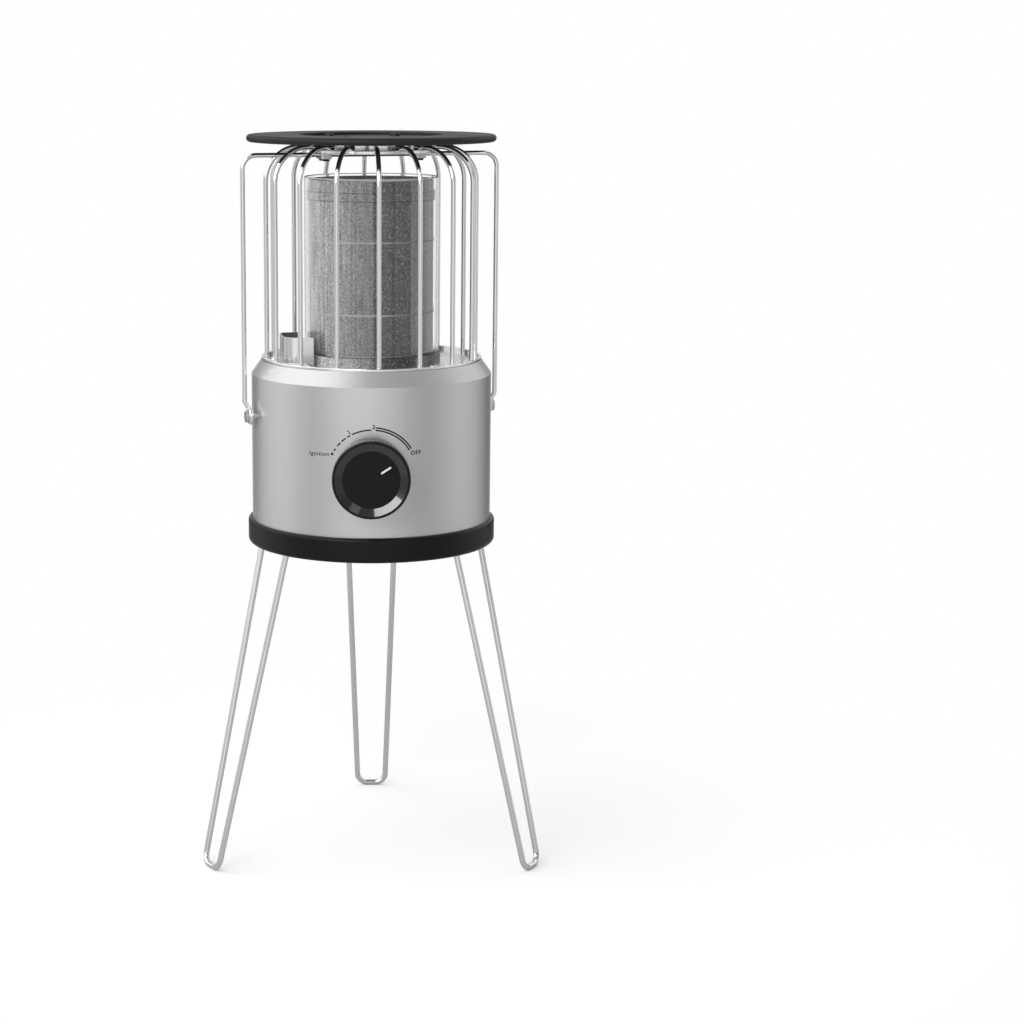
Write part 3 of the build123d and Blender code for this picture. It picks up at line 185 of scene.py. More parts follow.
studio = {  # share of the way round from behind, and brightness, in three bands one above the other
    "low": ((0.0, 1.0), (0.035, 0.8), (0.06, 0.14), (0.1, 0.16), (0.158, 0.62), (0.206, 0.82),
            (0.253, 0.84), (0.3, 0.58), (0.347, 0.38), (0.389, 0.57), (0.436, 0.85), (0.486, 0.95),
            (0.528, 0.88), (0.564, 0.73), (0.606, 0.5), (0.653, 0.41), (0.694, 0.58), (0.747, 0.8),
            (0.794, 0.78), (0.842, 0.56), (0.905, 0.1), (0.94, 0.12), (0.965, 0.8), (1.0, 1.0)),
    "middle": ((0.0, 0.5), (0.1, 0.5), (0.172, 1.6), (0.25, 1.75), (0.33, 1.85), (0.42, 1.5),
               (0.47, 0.8), (0.5, 0.4), (0.56, 0.2), (0.72, 0.2), (0.78, 0.7), (0.83, 1.0),
               (0.9, 0.9), (1.0, 0.5)),
    "high": ((0.0, 0.6), (0.1, 0.8), (0.172, 1.5), (0.283, 1.58), (0.347, 1.5), (0.383, 1.12),
             (0.417, 0.72), (0.458, 0.53), (0.5, 0.4), (0.625, 0.31), (0.69, 0.31), (0.756, 0.59),
             (0.79, 0.84), (0.83, 1.02), (0.9, 1.02), (1.0, 0.62)),
    "overLow": ((0.08, 0.0), (0.28, 1.0)),  # by height, where one band gives way to the next
    "overMiddle": ((0.5, 0.0), (0.72, 1.0)),
}
world = bpy.data.worlds.new("studioWorld")
bpy.context.scene.world = world
sky = Tree(world)
direction = sky.node("SeparateXYZ", (), {0: sky.node("TexCoord").pick("Generated")})
turn = sky.bearing(direction.pick("X"), direction.pick("Y")) / (2 * math.pi) + 0.5
overLow = sky.ramp(direction.pick("Z"), studio["overLow"])
overMiddle = sky.ramp(direction.pick("Z"), studio["overMiddle"])
upper = sky.blend(overMiddle, sky.ramp(turn, studio["middle"]), sky.ramp(turn, studio["high"]))
room = sky.blend(overLow, sky.ramp(turn, studio["low"]), upper)
path = sky.node("LightPath")
straight = sky.maths("LESS_THAN", path.pick("Diffuse Depth"), 0.5)
plainWhite = sky.maths("MAXIMUM", path.pick("Is Camera Ray"), path.pick("Is Transmission Ray") * straight)
sky.feed(sky.nodes["Background"].inputs["Color"], sky.blend(plainWhite, room, grey(1)))

lamps = {  # angles in degrees, sizes in metres
    "glintLamp": {"azimuth": -24, "elevation": 26, "roll": 39, "size": (0.85, 0.2), "power": 4.8},
    "fillLamp": {"azimuth": 30, "elevation": 34, "roll": 0, "size": (0.5, 0.5), "power": 0.9},
}
lampAim = Vector((0, 0, 0.3))
lampAway = 1.3
for name, lamp in lamps.items():
    lampData = bpy.data.lights.new(name, "AREA")
    lampData.shape = "RECTANGLE"
    lampData.size, lampData.size_y = lamp["size"]
    lampData.energy = lamp["power"]
    azimuth = math.radians(lamp["azimuth"])
    elevation = math.radians(lamp["elevation"])
    outwards = Vector((math.sin(azimuth) * math.cos(elevation), -math.cos(azimuth) * math.cos(elevation),
                       math.sin(elevation)))
    facing = outwards.to_track_quat("Z", "Y") @ Quaternion((0, 0, 1), math.radians(lamp["roll"]))
    studioLamp = bpy.data.objects.new(name, lampData)
    studioLamp.location = lampAim + outwards * lampAway
    studioLamp.rotation_euler = facing.to_euler()
    bpy.context.collection.objects.link(studioLamp)


def asMesh(bm, name):
    mesh = bpy.data.meshes.new(name)
    bm.to_mesh(mesh)
    bm.free()
    return mesh


# The camera sees a white floor with its shadows, and everything else sees a grey one
floor = {"radius": 1.1, "sides": 96, "tone": 0.55, "white": 0.95, "glow": 0.13,
         "fade": ((0.24, 0.0), (0.5, 1.0))}
bm = bmesh.new()
bmesh.ops.create_circle(bm, cap_ends=True, radius=floor["radius"], segments=floor["sides"])
floorMesh = asMesh(bm, "studioFloor")
studioFloor = bpy.data.objects.new("studioFloor", floorMesh)
bpy.context.collection.objects.link(studioFloor)
floorFinish = Finish("studioFloor", {"Base Color": grey(floor["tone"]), "Roughness": 1.0,
                                     "Specular IOR Level": 0.0})
white = floorFinish.node("BsdfDiffuse", (), {"Color": grey(floor["white"])})
glow = floorFinish.node("Emission", (), {"Strength": floor["glow"]})
lit = floorFinish.node("AddShader", (), {0: white, 1: glow})
beyond = floorFinish.node("Emission", (), {"Strength": 1.0})
far = floorFinish.node("VectorMath", {"operation": "LENGTH"}, {0: floorFinish.place}, "Value")
faded = floorFinish.node("MixShader", (), {0: floorFinish.ramp(far, floor["fade"]), 1: lit, 2: beyond})
seen = floorFinish.node("LightPath").pick("Is Camera Ray")
plain = Signal(floorFinish, floorFinish.skin.outputs[0])
floorShader = floorFinish.node("MixShader", (), {0: seen, 1: plain, 2: faded})
floorFinish.feed(floorFinish.nodes["Material Output"].inputs["Surface"], floorShader)
floorMesh.materials.append(floorFinish.material)
print("studio lit")

# Finishes: cloud and grain are sizes in metres, and the other numbers say what they change


def dress(finish, look, grainDetail):
    cloud = finish.ripple(look["cloud"])
    grain = finish.ripple(look["grain"], grainDetail)
    tone = 1 + cloud * look["tone"]
    if "fleck" in look:
        tone = tone + grain * look["fleck"]
    finish.show(
        colour=finish.shade(look["colour"], tone),
        roughness=look["rough"] + cloud * look["roughCloud"] + grain * look["roughGrain"],
        normal=finish.bump(grain, look["depth"]),
    )
    return finish


def metal(name, look):  # sheet, wire or casting
    settled = {"Metallic": look.get("metallic", 1.0), "Specular IOR Level": look.get("gloss", 0.5)}
    return dress(Finish(name, settled), look, 2)


def moulding(name, look):  # moulded, enamelled or printed pieces
    return dress(Finish(name, {"IOR": 1.5, "Specular IOR Level": look["gloss"]}), look, 3)


chromeWire = metal("chromeWire", {
    "colour": (0.83, 0.83, 0.835), "rough": 0.1, "cloud": 0.03, "grain": 0.0006, "tone": 0.06,
    "roughCloud": 0.06, "roughGrain": 0.02, "depth": 0.000002})
legWire = metal("legWire", {
    "colour": (0.79, 0.79, 0.795), "rough": 0.13, "cloud": 0.03, "grain": 0.0006, "tone": 0.08,
    "roughCloud": 0.08, "roughGrain": 0.03, "depth": 0.000002})
satinSilver = metal("satinSilver", {
    "colour": (0.6, 0.6, 0.602), "metallic": 0.76, "gloss": 0.3, "rough": 0.3, "cloud": 0.05,
    "grain": 0.00035, "tone": 0.03, "fleck": 0.05, "roughCloud": 0.04, "roughGrain": 0.1,
    "depth": 0.000005})
polishedSheet = metal("polishedSheet", {
    "colour": (0.82, 0.82, 0.83), "rough": 0.18, "cloud": 0.02, "grain": 0.0008, "tone": 0.06,
    "roughCloud": 0.1, "roughGrain": 0.04, "depth": 0.000001})
deckSheet = metal("deckSheet", {
    "colour": (0.86, 0.86, 0.865), "rough": 0.28, "cloud": 0.02, "grain": 0.0008, "tone": 0.06,
    "roughCloud": 0.1, "roughGrain": 0.04, "depth": 0.000001})
platedSteel = metal("platedSteel", {
    "colour": (0.56, 0.57, 0.585), "rough": 0.3, "cloud": 0.012, "grain": 0.0007, "tone": 0.16,
    "roughCloud": 0.16, "roughGrain": 0.06, "depth": 0.000008})
burnerSheet = metal("burnerSheet", {
    "colour": (0.5, 0.5, 0.505), "rough": 0.38, "cloud": 0.01, "grain": 0.0009, "tone": 0.3,
    "fleck": 0.5, "roughCloud": 0.15, "roughGrain": 0.2, "depth": 0.00003})
castSocket = metal("castSocket", {
    "colour": (0.6, 0.6, 0.61), "rough": 0.5, "cloud": 0.008, "grain": 0.0005, "tone": 0.15,
    "roughCloud": 0.1, "roughGrain": 0.1, "depth": 0.00004})
machinedBrass = metal("machinedBrass", {
    "colour": (0.74, 0.56, 0.26), "rough": 0.27, "cloud": 0.01, "grain": 0.0004, "tone": 0.16,
    "roughCloud": 0.14, "roughGrain": 0.08, "depth": 0.000008})
drawnTube = metal("drawnTube", {
    "colour": (0.74, 0.74, 0.75), "rough": 0.33, "cloud": 0.01, "grain": 0.0005, "tone": 0.1,
    "roughCloud": 0.1, "roughGrain": 0.08, "depth": 0.000006})
springSteel = metal("springSteel", {
    "colour": (0.55, 0.55, 0.56), "rough": 0.25, "cloud": 0.006, "grain": 0.0004, "tone": 0.14,
    "roughCloud": 0.1, "roughGrain": 0.08, "depth": 0.000006})
plateScrew = metal("plateScrew", {
    "colour": (0.035, 0.035, 0.036), "rough": 0.36, "cloud": 0.004, "grain": 0.0005, "tone": 0.3,
    "roughCloud": 0.2, "roughGrain": 0.1, "depth": 0.000008})
trayBlack = moulding("trayBlack", {
    "colour": (0.0075, 0.0075, 0.0078), "gloss": 0.16, "rough": 0.3, "cloud": 0.04, "grain": 0.0005,
    "tone": 0.2, "roughCloud": 0.05, "roughGrain": 0.08, "depth": 0.000008})
plateBlack = moulding("plateBlack", {
    "colour": (0.013, 0.013, 0.0133), "gloss": 0.3, "rough": 0.5, "cloud": 0.022, "grain": 0.0011,
    "tone": 0.9, "roughCloud": 0.3, "roughGrain": 0.12, "depth": 0.00004})
faceMatt = moulding("faceMatt", {
    "colour": (0.0105, 0.0105, 0.0107), "gloss": 0.1, "rough": 0.55, "cloud": 0.01, "grain": 0.0003,
    "tone": 0.08, "roughCloud": 0.05, "roughGrain": 0.12, "depth": 0.00001})
pointerWhite = moulding("pointerWhite", {
    "colour": (0.8, 0.8, 0.79), "gloss": 0.3, "rough": 0.4, "cloud": 0.004, "grain": 0.0003,
    "tone": 0.05, "roughCloud": 0.1, "roughGrain": 0.1, "depth": 0.000005})
printBlack = moulding("printBlack", {
    "colour": (0.006, 0.006, 0.006), "gloss": 0.2, "rough": 0.6, "cloud": 0.004, "grain": 0.0003,
    "tone": 0.2, "roughCloud": 0.1, "roughGrain": 0.1, "depth": 0.000002})
whiteCeramic = moulding("whiteCeramic", {
    "colour": (0.86, 0.85, 0.81), "gloss": 0.5, "rough": 0.5, "cloud": 0.006, "grain": 0.0004,
    "tone": 0.06, "roughCloud": 0.1, "roughGrain": 0.1, "depth": 0.00001})
switchCase = moulding("switchCase", {
    "colour": (0.72, 0.7, 0.64), "gloss": 0.4, "rough": 0.45, "cloud": 0.01, "grain": 0.0005,
    "tone": 0.08, "roughCloud": 0.1, "roughGrain": 0.1, "depth": 0.00001})
leadSleeve = moulding("leadSleeve", {
    "colour": (0.42, 0.05, 0.035), "gloss": 0.35, "rough": 0.5, "cloud": 0.01, "grain": 0.0004,
    "tone": 0.12, "roughCloud": 0.1, "roughGrain": 0.1, "depth": 0.00001})

# Knob: satin skirt with painted shade in its grooves, a glossier bevel round the sunken face, and painted
# sheen on bevel and skirt
knobLook = {
    "axis": 0.3027, "bevel": 0.02625, "behind": -0.1025,  # height, radius, and where the skirt starts
    "colour": (0.017, 0.017, 0.0174), "ringTone": 0.35, "bevelSheen": 1.0, "skirtSheen": 1.5,
    "satin": 0.4, "polish": 0.1, "bevelCoat": 0.9, "gloss": 0.2, "coatRough": 0.08,
    "grooves": 90, "grooveShade": 0.65, "grooveCoat": 0.8,
    "grain": 0.0004, "roughGrain": 0.05, "depth": 0.000003,
}
knobBlack = Finish("knobBlack", {"IOR": 1.5, "Specular IOR Level": knobLook["gloss"],
                                 "Coat Roughness": knobLook["coatRough"]})
x, y, z = knobBlack.along()
rise = z - knobLook["axis"]
forward = knobBlack.maths("LESS_THAN", y, knobLook["behind"])
onBevel = knobBlack.maths("LESS_THAN", knobBlack.reach(x, rise), knobLook["bevel"]) * forward
onSkirt = 1 - forward
groove = knobBlack.wave("COSINE", knobBlack.maths("ARCTAN2", rise, x) * knobLook["grooves"])
knobGrain = knobBlack.ripple(knobLook["grain"])
# painted shade darkens the skirt's grooves
ridged = onSkirt * (1 - groove * knobLook["grooveShade"])
# painted sheen: the bevel and the skirt are lighter than the ring, and the grooves carry painted shade
knobToneAndPaintedLight = (knobLook["ringTone"] + onBevel * (knobLook["bevelSheen"] - knobLook["ringTone"])
            + ridged * (knobLook["skirtSheen"] - knobLook["ringTone"]))
knobBlack.show(
    colour=knobBlack.shade(knobLook["colour"], knobToneAndPaintedLight),
    roughness=(knobLook["satin"] + onBevel * (knobLook["polish"] - knobLook["satin"])
               + knobGrain * knobLook["roughGrain"]),
    coat=onBevel * knobLook["bevelCoat"] + onSkirt * (1 - groove * knobLook["grooveCoat"]),
    normal=knobBlack.bump(knobGrain, knobLook["depth"]),
)

# Burner mesh: loops of fine wire, knitted round the cylinder in columns
knit = {
    "radius": 0.0462, "column": 0.0012, "row": 0.0009, "lean": 0.5,
    "wire": (0.5, 0.5, 0.503, 1), "gap": (0.1, 0.1, 0.101, 1), "wireStops": ((0.1, 0.0), (0.9, 1.0)),
    "edgeHeight": 0.25, "loopHeight": 0.15, "speckHeight": 0.6, "depth": 0.0001,
    "speck": 0.001, "speckStops": ((0.36, 0.0), (0.64, 1.0)),
    "streak": 0.0022, "stretch": 0.06, "streakHeight": 0.5, "streakTone": 0.7,  # long marks down the columns
    "patch": 0.012, "patchTone": 0.3,
    "paintedGlint": 0.0016, "paintedGlintStops": ((0.52, 0.0), (0.68, 1.0)), "paintedGlintTone": 0.6,  # painted glints lighten small random specks
    "rough": 0.42, "roughSpeck": 0.3, "metallic": 0.35, "gloss": 0.3,
    "lipReach": 0.0463, "lipLevels": (0.4964, 0.5026), "lipHalf": 0.0004, "lipShade": 0.5,
    "heat": ((0.0, 0.8), (0.2, 1.45), (0.3, 2.0), (0.37, 1.9), (0.42, 1.25), (0.45, 0.96),
             (0.48, 0.74), (0.503, 0.68), (0.508, 0.29), (0.55, 0.27), (0.602, 0.26), (0.607, 0.68),
             (0.66, 0.54), (0.76, 0.9), (1.0, 0.8)),  # painted light and shade, lighter on the left and darker right of the front, where the sheet also laps
}
burnerMesh = Finish("burnerMesh", {"Metallic": knit["metallic"], "Specular IOR Level": knit["gloss"]})
x, y, z = burnerMesh.along()
around = burnerMesh.bearing(x, y)
arc = around * knit["radius"]
side = burnerMesh.maths("PINGPONG", arc / knit["column"], 0.5) * 2
edge = burnerMesh.maths("SINE", side * math.pi)
loop = burnerMesh.wave("SINE", (z / knit["row"] + side * knit["lean"]) * (2 * math.pi))
speck = burnerMesh.noise(burnerMesh.place, knit["speck"])
knitHeight = (edge * knit["edgeHeight"] + loop * knit["loopHeight"]
              + burnerMesh.ramp(speck, knit["speckStops"]) * knit["speckHeight"])
downColumn = burnerMesh.node("CombineXYZ", (), {0: arc, 2: z * knit["stretch"]})
streak = burnerMesh.noise(downColumn, knit["streak"]) - 0.5
wireShare = burnerMesh.ramp(knitHeight + streak * knit["streakHeight"], knit["wireStops"])
# painted light: the mesh's tone is lighter on the left of the burner and darker right of the front
heat = burnerMesh.ramp(around / (2 * math.pi) + 0.5, knit["heat"])
tone = heat * (1 + burnerMesh.ripple(knit["patch"]) * knit["patchTone"])
tone = tone * (1 + streak * tone * knit["streakTone"])  # streaks show most where the wire is bright
# painted glints: small random specks of the mesh are lightened in the colour
paintedGlint = burnerMesh.ramp(burnerMesh.noise(burnerMesh.place, knit["paintedGlint"]), knit["paintedGlintStops"])
tone = tone * (1 - paintedGlint * knit["paintedGlintTone"]) + paintedGlint * knit["paintedGlintTone"]
lipLow, lipHigh = (burnerMesh.maths("LESS_THAN", burnerMesh.maths("ABSOLUTE", z - level), knit["lipHalf"])
                   for level in knit["lipLevels"])
onBand = burnerMesh.maths("GREATER_THAN", burnerMesh.reach(x, y), knit["lipReach"])
lip = onBand * (lipLow + lipHigh)  # the band's folded edges, darkened with painted shade
burnerMesh.show(
    colour=burnerMesh.shade(burnerMesh.blend(wireShare, knit["gap"], knit["wire"]),
                            tone * (1 - lip * knit["lipShade"])),
    roughness=knit["rough"] + (speck - 0.5) * knit["roughSpeck"],
    normal=burnerMesh.bump(knitHeight, knit["depth"]),
)

# Hoops, with painted light: lighter towards the left of the burner, darker to the right
hoop = {"colour": (0.5, 0.5, 0.505), "tone": 0.75, "across": 14.0, "scale": 0.003, "scaleTone": 0.3,
        "rough": 0.34, "roughScale": 0.2}
hoopSteel = Finish("hoopSteel", {"Metallic": 1.0})
x, y, z = hoopSteel.along()
scale = hoopSteel.ripple(hoop["scale"])
hoopSteel.show(
    # painted light: the hoops' tone falls off from left to right across the burner
    colour=hoopSteel.shade(hoop["colour"], hoop["tone"] + scale * hoop["scaleTone"] - x * hoop["across"]),
    roughness=hoop["rough"] + scale * hoop["roughScale"],
)

# Chimney glass, clear on its walls and ground on its rims
glass = {"clear": (1, 1, 1, 1), "ground": (0.93, 0.93, 0.93, 1), "ior": 1.46, "groundThrough": 0.35,
         "haze": 0.03, "clearRough": 0.003, "roughHaze": 0.03,
         "sawn": 0.0006, "groundRough": 0.5, "roughSawn": 0.3, "depth": 0.00002}
clearGlass = Finish("clearGlass", {"Base Color": glass["clear"], "IOR": glass["ior"],
                                   "Transmission Weight": 1.0})
clearGlass.show(roughness=glass["clearRough"] + clearGlass.ripple(glass["haze"]) * glass["roughHaze"])
groundGlass = Finish("groundGlass", {"Base Color": glass["ground"], "IOR": glass["ior"],
                                     "Transmission Weight": glass["groundThrough"]})
sawn = groundGlass.ripple(glass["sawn"])
groundGlass.show(
    roughness=glass["groundRough"] + sawn * glass["roughSawn"],
    normal=groundGlass.bump(sawn, glass["depth"]),
)

# Igniter hood: bright outside, with painted shade on its inside faces
hoodLook = {"colour": (0.82, 0.82, 0.83), "cloud": 0.02, "tone": 0.06, "insideShade": 0.75, "rough": 0.27,
            "roughInside": 0.25, "roughCloud": 0.1}
hoodSheet = Finish("hoodSheet", {"Metallic": 1.0})
shadedInside = hoodSheet.node("Attribute", {"attribute_name": "inside"}, (), "Fac")
cloud = hoodSheet.ripple(hoodLook["cloud"])
# painted shade darkens the faces inside the hood
hoodTone = (1 + cloud * hoodLook["tone"]) * (1 - shadedInside * hoodLook["insideShade"])
hoodSheet.show(
    colour=hoodSheet.shade(hoodLook["colour"], hoodTone),
    roughness=hoodLook["rough"] + shadedInside * hoodLook["roughInside"] + cloud * hoodLook["roughCloud"],
)

wearers = {
    chromeWire: "cage_wires hold_down_bail",
    legWire: "leg_left leg_right leg_rear",
    satinSilver: "body_shell bail_studs",
    polishedSheet: "reflector igniter_shield guard_hub_ring",
    deckSheet: "deck_pan",
    platedSteel: "chassis_plate heat_shield valve_bracket base_screws chassis_screws deck_screws "
                 "valve_screws guard_screws stud_nuts body_posts bail_clips",
    burnerSheet: "burner_cup mixing_tube inner_diffuser burner_cap",
    burnerMesh: "mesh_emitter mesh_band glass_seat_ring",
    hoopSteel: "mesh_hoops",
    clearGlass: "glass_chimney",
    castSocket: "leg_socket_left leg_socket_right leg_socket_rear",
    machinedBrass: "injector injector_holder valve_body valve_bonnet gas_inlet_fitting inlet_nut push_pin",
    drawnTube: "inlet_pipe outlet_pipe",
    springSteel: "valve_stem stem_spring thermocouple electrode_tip magnet_unit",
    whiteCeramic: "spark_electrode",
    switchCase: "piezo_igniter tilt_switch",
    leadSleeve: "ignition_lead thermocouple_lead tilt_switch_lead",
    trayBlack: "base_tray",
    plateBlack: "top_plate",
    knobBlack: "knob",
    faceMatt: "knob_face",
    pointerWhite: "knob_pointer",
}
for finish, names in wearers.items():
    for name in names.split():
        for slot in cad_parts[name].material_slots:
            slot.material = finish.material
print("finishes on")

# Pieces

touching = 0.000001  # corners closer than this are one
sharpAngle = 1.0  # in radians, between the faces of an edge to round


def makePiece(bm, name, finish, body, crease=40):  # smooth up to the crease, in degrees
    for edge in bm.edges:
        edge.smooth = len(edge.link_faces) == 2 and edge.calc_face_angle(0) < math.radians(crease)
    for face in bm.faces:
        face.smooth = True
    mesh = asMesh(bm, name)
    mesh.materials.append(finish.material)
    piece = bpy.data.objects.new(name, mesh)
    bpy.context.collection.objects.link(piece)
    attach(piece, body)
    return piece


def addVert(bm, place):
    return bmesh.ops.create_vert(bm, co=place)["vert"][0]


def addOutline(bm, points, closed=True):  # a chain of edges in the XZ plane
    verts = [addVert(bm, (across, 0, up)) for across, up in points]
    count = len(verts) if closed else len(verts) - 1
    edges = [bm.edges.new((verts[n], verts[(n + 1) % len(verts)])) for n in range(count)]
    return verts + edges


def turnRound(bm, outline, steps, merged=touching):
    bmesh.ops.spin(bm, geom=outline, axis=(0, 0, 1), cent=(0, 0, 0), steps=steps, angle=2 * math.pi,
                   use_merge=True)
    bmesh.ops.remove_doubles(bm, verts=bm.verts, dist=merged)


def windRound(bm, outline, turns, steps, climb):  # a helix up the Z axis, capped at both ends
    bmesh.ops.contextual_create(bm, geom=outline)
    made = bmesh.ops.spin(bm, geom=outline, axis=(0, 0, 1), cent=(0, 0, 0), steps=steps,
                          angle=2 * math.pi * turns, dvec=(0, 0, climb / steps))
    bmesh.ops.contextual_create(bm, geom=made["geom_last"])
    bmesh.ops.recalc_face_normals(bm, faces=bm.faces)


def tipOver(bm, angle, centre):  # from upright to lying along Y
    bmesh.ops.rotate(bm, verts=bm.verts, matrix=Matrix.Rotation(angle, 3, "X"))
    bmesh.ops.translate(bm, verts=bm.verts, vec=centre)


def roundEdges(bm, width, segments):
    sharp = [edge for edge in bm.edges if edge.calc_face_angle(0) > sharpAngle]
    bmesh.ops.bevel(bm, geom=sharp, offset=width, offset_type="OFFSET", affect="EDGES",
                    segments=segments, profile=0.5, material=-1)


def addCopies(bm, mesh, places):
    for place in places:
        copy = mesh.copy()
        copy.transform(place)
        bm.from_mesh(copy)
        bpy.data.meshes.remove(copy)
    bpy.data.meshes.remove(mesh)


# Dial marks, laid out flat round the knob axis and then bent round the drum; angles in degrees
dial = {
    "drum": 0.09, "proud": 0.00005, "thick": 0.00004, "centre": (0.0005, 0.3043), "radius": 0.0324,
    "line": 0.00102, "degreesPerStep": 3, "spaced": 1.14,
    "dashes": ((149.3, 145.4), (141.3, 135.1), (132.9, 125.9), (123.6, 119.3)),
    "low": (116.5, 90.7), "high": (85.4, 32.3), "step": 0.00175,
    "dot": (-0.0287, 0.3187), "dotRadius": 0.001, "dotSides": 24,
    "words": (
        {"text": "1", "place": (-0.0159, 0.3346, 0), "tall": 0.0031, "lean": 28, "bold": 0.022, "smooth": 6},
        {"text": "-", "place": (-0.01715, 0.33575, 0), "tall": 0.00042, "wide": 0.0011, "lean": 70,
         "bold": 0.022, "smooth": 6},
        {"text": "2", "place": (0.0018, 0.33895, 0), "tall": 0.0031, "lean": 0, "bold": 0.022, "smooth": 6},
        {"text": "OFF", "place": (0.0328, 0.3195, 0), "tall": 0.0031, "wide": 0.0077, "lean": 0,
         "bold": 0.022, "smooth": 6},
        {"text": "Ignition", "place": (-0.0389, 0.3184, 0), "tall": 0.003, "wide": 0.0156, "lean": 0,
         "bold": 0.01, "smooth": 3, "hangs": True},  # its g hangs below the line
    ),
}


def addArc(bm, start, end, radius):
    ends = [addVert(bm, (radius + half, 0, 0)) for half in (-dial["line"] / 2, dial["line"] / 2)]
    edge = bm.edges.new(ends)
    bmesh.ops.rotate(bm, verts=ends, matrix=Matrix.Rotation(math.radians(start), 3, "Z"))
    bmesh.ops.spin(bm, geom=ends + [edge], axis=(0, 0, 1), cent=(0, 0, 0),
                   steps=max(2, round(abs(end - start) / dial["degreesPerStep"])),
                   angle=math.radians(end - start))


def addWord(bm, word):
    curve = bpy.data.curves.new("word", "FONT")
    curve.body = word["text"]
    curve.resolution_u = word["smooth"]
    curve.space_character = dial["spaced"]
    curve.offset = word["bold"]
    writing = bpy.data.objects.new("word", curve)
    bpy.context.collection.objects.link(writing)
    letters = bpy.data.meshes.new_from_object(writing)
    bpy.data.objects.remove(writing)
    lows = [min(vert.co[axis] for vert in letters.vertices) for axis in (0, 1)]
    highs = [max(vert.co[axis] for vert in letters.vertices) for axis in (0, 1)]
    if word.get("hangs"):
        lows[1] = -word["bold"]
    tall = word["tall"] / (highs[1] - lows[1])
    wide = word["wide"] / (highs[0] - lows[0]) if "wide" in word else tall
    centred = Matrix.Translation((-(lows[0] + highs[0]) / 2, -(lows[1] + highs[1]) / 2, 0))
    letters.transform(Matrix.Translation(word["place"]) @ Matrix.Rotation(math.radians(word["lean"]), 4, "Z")
                      @ Matrix.Diagonal((wide, tall, 1, 1)) @ centred)
    bm.from_mesh(letters)
    bpy.data.meshes.remove(letters)


bm = bmesh.new()
for start, end in dial["dashes"] + (dial["low"], dial["high"]):
    addArc(bm, start, end, dial["radius"])
addArc(bm, *dial["high"], dial["radius"] + dial["step"])
bmesh.ops.translate(bm, verts=bm.verts, vec=(*dial["centre"], 0))
dot = bmesh.ops.create_circle(bm, cap_ends=True, radius=dial["dotRadius"], segments=dial["dotSides"])["verts"]
bmesh.ops.translate(bm, verts=dot, vec=(*dial["dot"], 0))
for word in dial["words"]:
    addWord(bm, word)
bmesh.ops.remove_doubles(bm, verts=bm.verts, dist=touching)
for face in bm.faces:
    face.normal_update()
    if face.normal.z < 0:
        face.normal_flip()
raised = bmesh.ops.extrude_face_region(bm, geom=bm.faces[:])
tops = [item for item in raised["geom"] if isinstance(item, bmesh.types.BMVert)]
bmesh.ops.translate(bm, verts=tops, vec=(0, 0, dial["thick"]))
for vert in bm.verts:
    azimuth = vert.co.x / dial["drum"]
    out = dial["drum"] + dial["proud"] - dial["thick"] + vert.co.z
    vert.co = (out * math.sin(azimuth), -out * math.cos(azimuth), vert.co.y)
makePiece(bm, "dialMarks", printBlack, "drum")
print("dial printed")

# Chimney glass with ground rims
chimney = {"wall": 0.002, "rim": 0.0007, "rimSegments": 4, "keeper": 0.0004, "sides": 160, "merged": 0.00001}
low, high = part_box("glass_chimney")
inner = high[0] - chimney["wall"]
rimLow = low[2] + chimney["rim"]
rimHigh = high[2] - chimney["rim"]
bm = bmesh.new()
section = addOutline(bm, [(inner, low[2]), (high[0], low[2]), (high[0], high[2]), (inner, high[2])])
turnRound(bm, section, chimney["sides"], chimney["merged"])
bmesh.ops.recalc_face_normals(bm, faces=bm.faces)
roundEdges(bm, chimney["rim"], chimney["rimSegments"])
for level in (rimLow + chimney["keeper"], rimHigh - chimney["keeper"]):  # keeps the long walls' shading even
    bmesh.ops.bisect_plane(bm, geom=bm.verts[:] + bm.edges[:] + bm.faces[:], dist=touching,
                           plane_co=(0, 0, level), plane_no=(0, 0, 1))
for face in bm.faces:
    face.material_index = 0 if rimLow < face.calc_center_median().z < rimHigh else 1
chimneyGlass = makePiece(bm, "chimneyGlass", clearGlass, "drum")
chimneyGlass.data.materials.append(groundGlass.material)
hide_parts("glass_chimney")
print("chimney blown")

# Igniter hood: a strip of sheet folded round the igniter, in a thicker foot
hood = {
    "azimuth": 189, "front": 0.029, "back": -0.008, "frontEnd": 0.0475, "backEnd": 0.0545, "out": 0.0686,
    "corner": 0.0105, "backCorner": 0.006, "bends": 8, "sheet": 0.0008, "foot": 0.002,
    "footSheet": 0.0013, "soften": 0.0002, "softenSegments": 2,
}


def slideEdge(bm, strip, step):
    edges = [item for item in strip if isinstance(item, bmesh.types.BMEdge)]
    made = bmesh.ops.extrude_edge_only(bm, edges=edges)["geom"]
    verts = [item for item in made if isinstance(item, bmesh.types.BMVert)]
    bmesh.ops.translate(bm, verts=verts, vec=step)
    return [item for item in made if not isinstance(item, bmesh.types.BMFace)]


def bendEdge(bm, strip, centre):
    return bmesh.ops.spin(bm, geom=strip, axis=(0, 0, 1), cent=(*centre, 0), steps=hood["bends"],
                          angle=-math.pi / 2)["geom_last"]


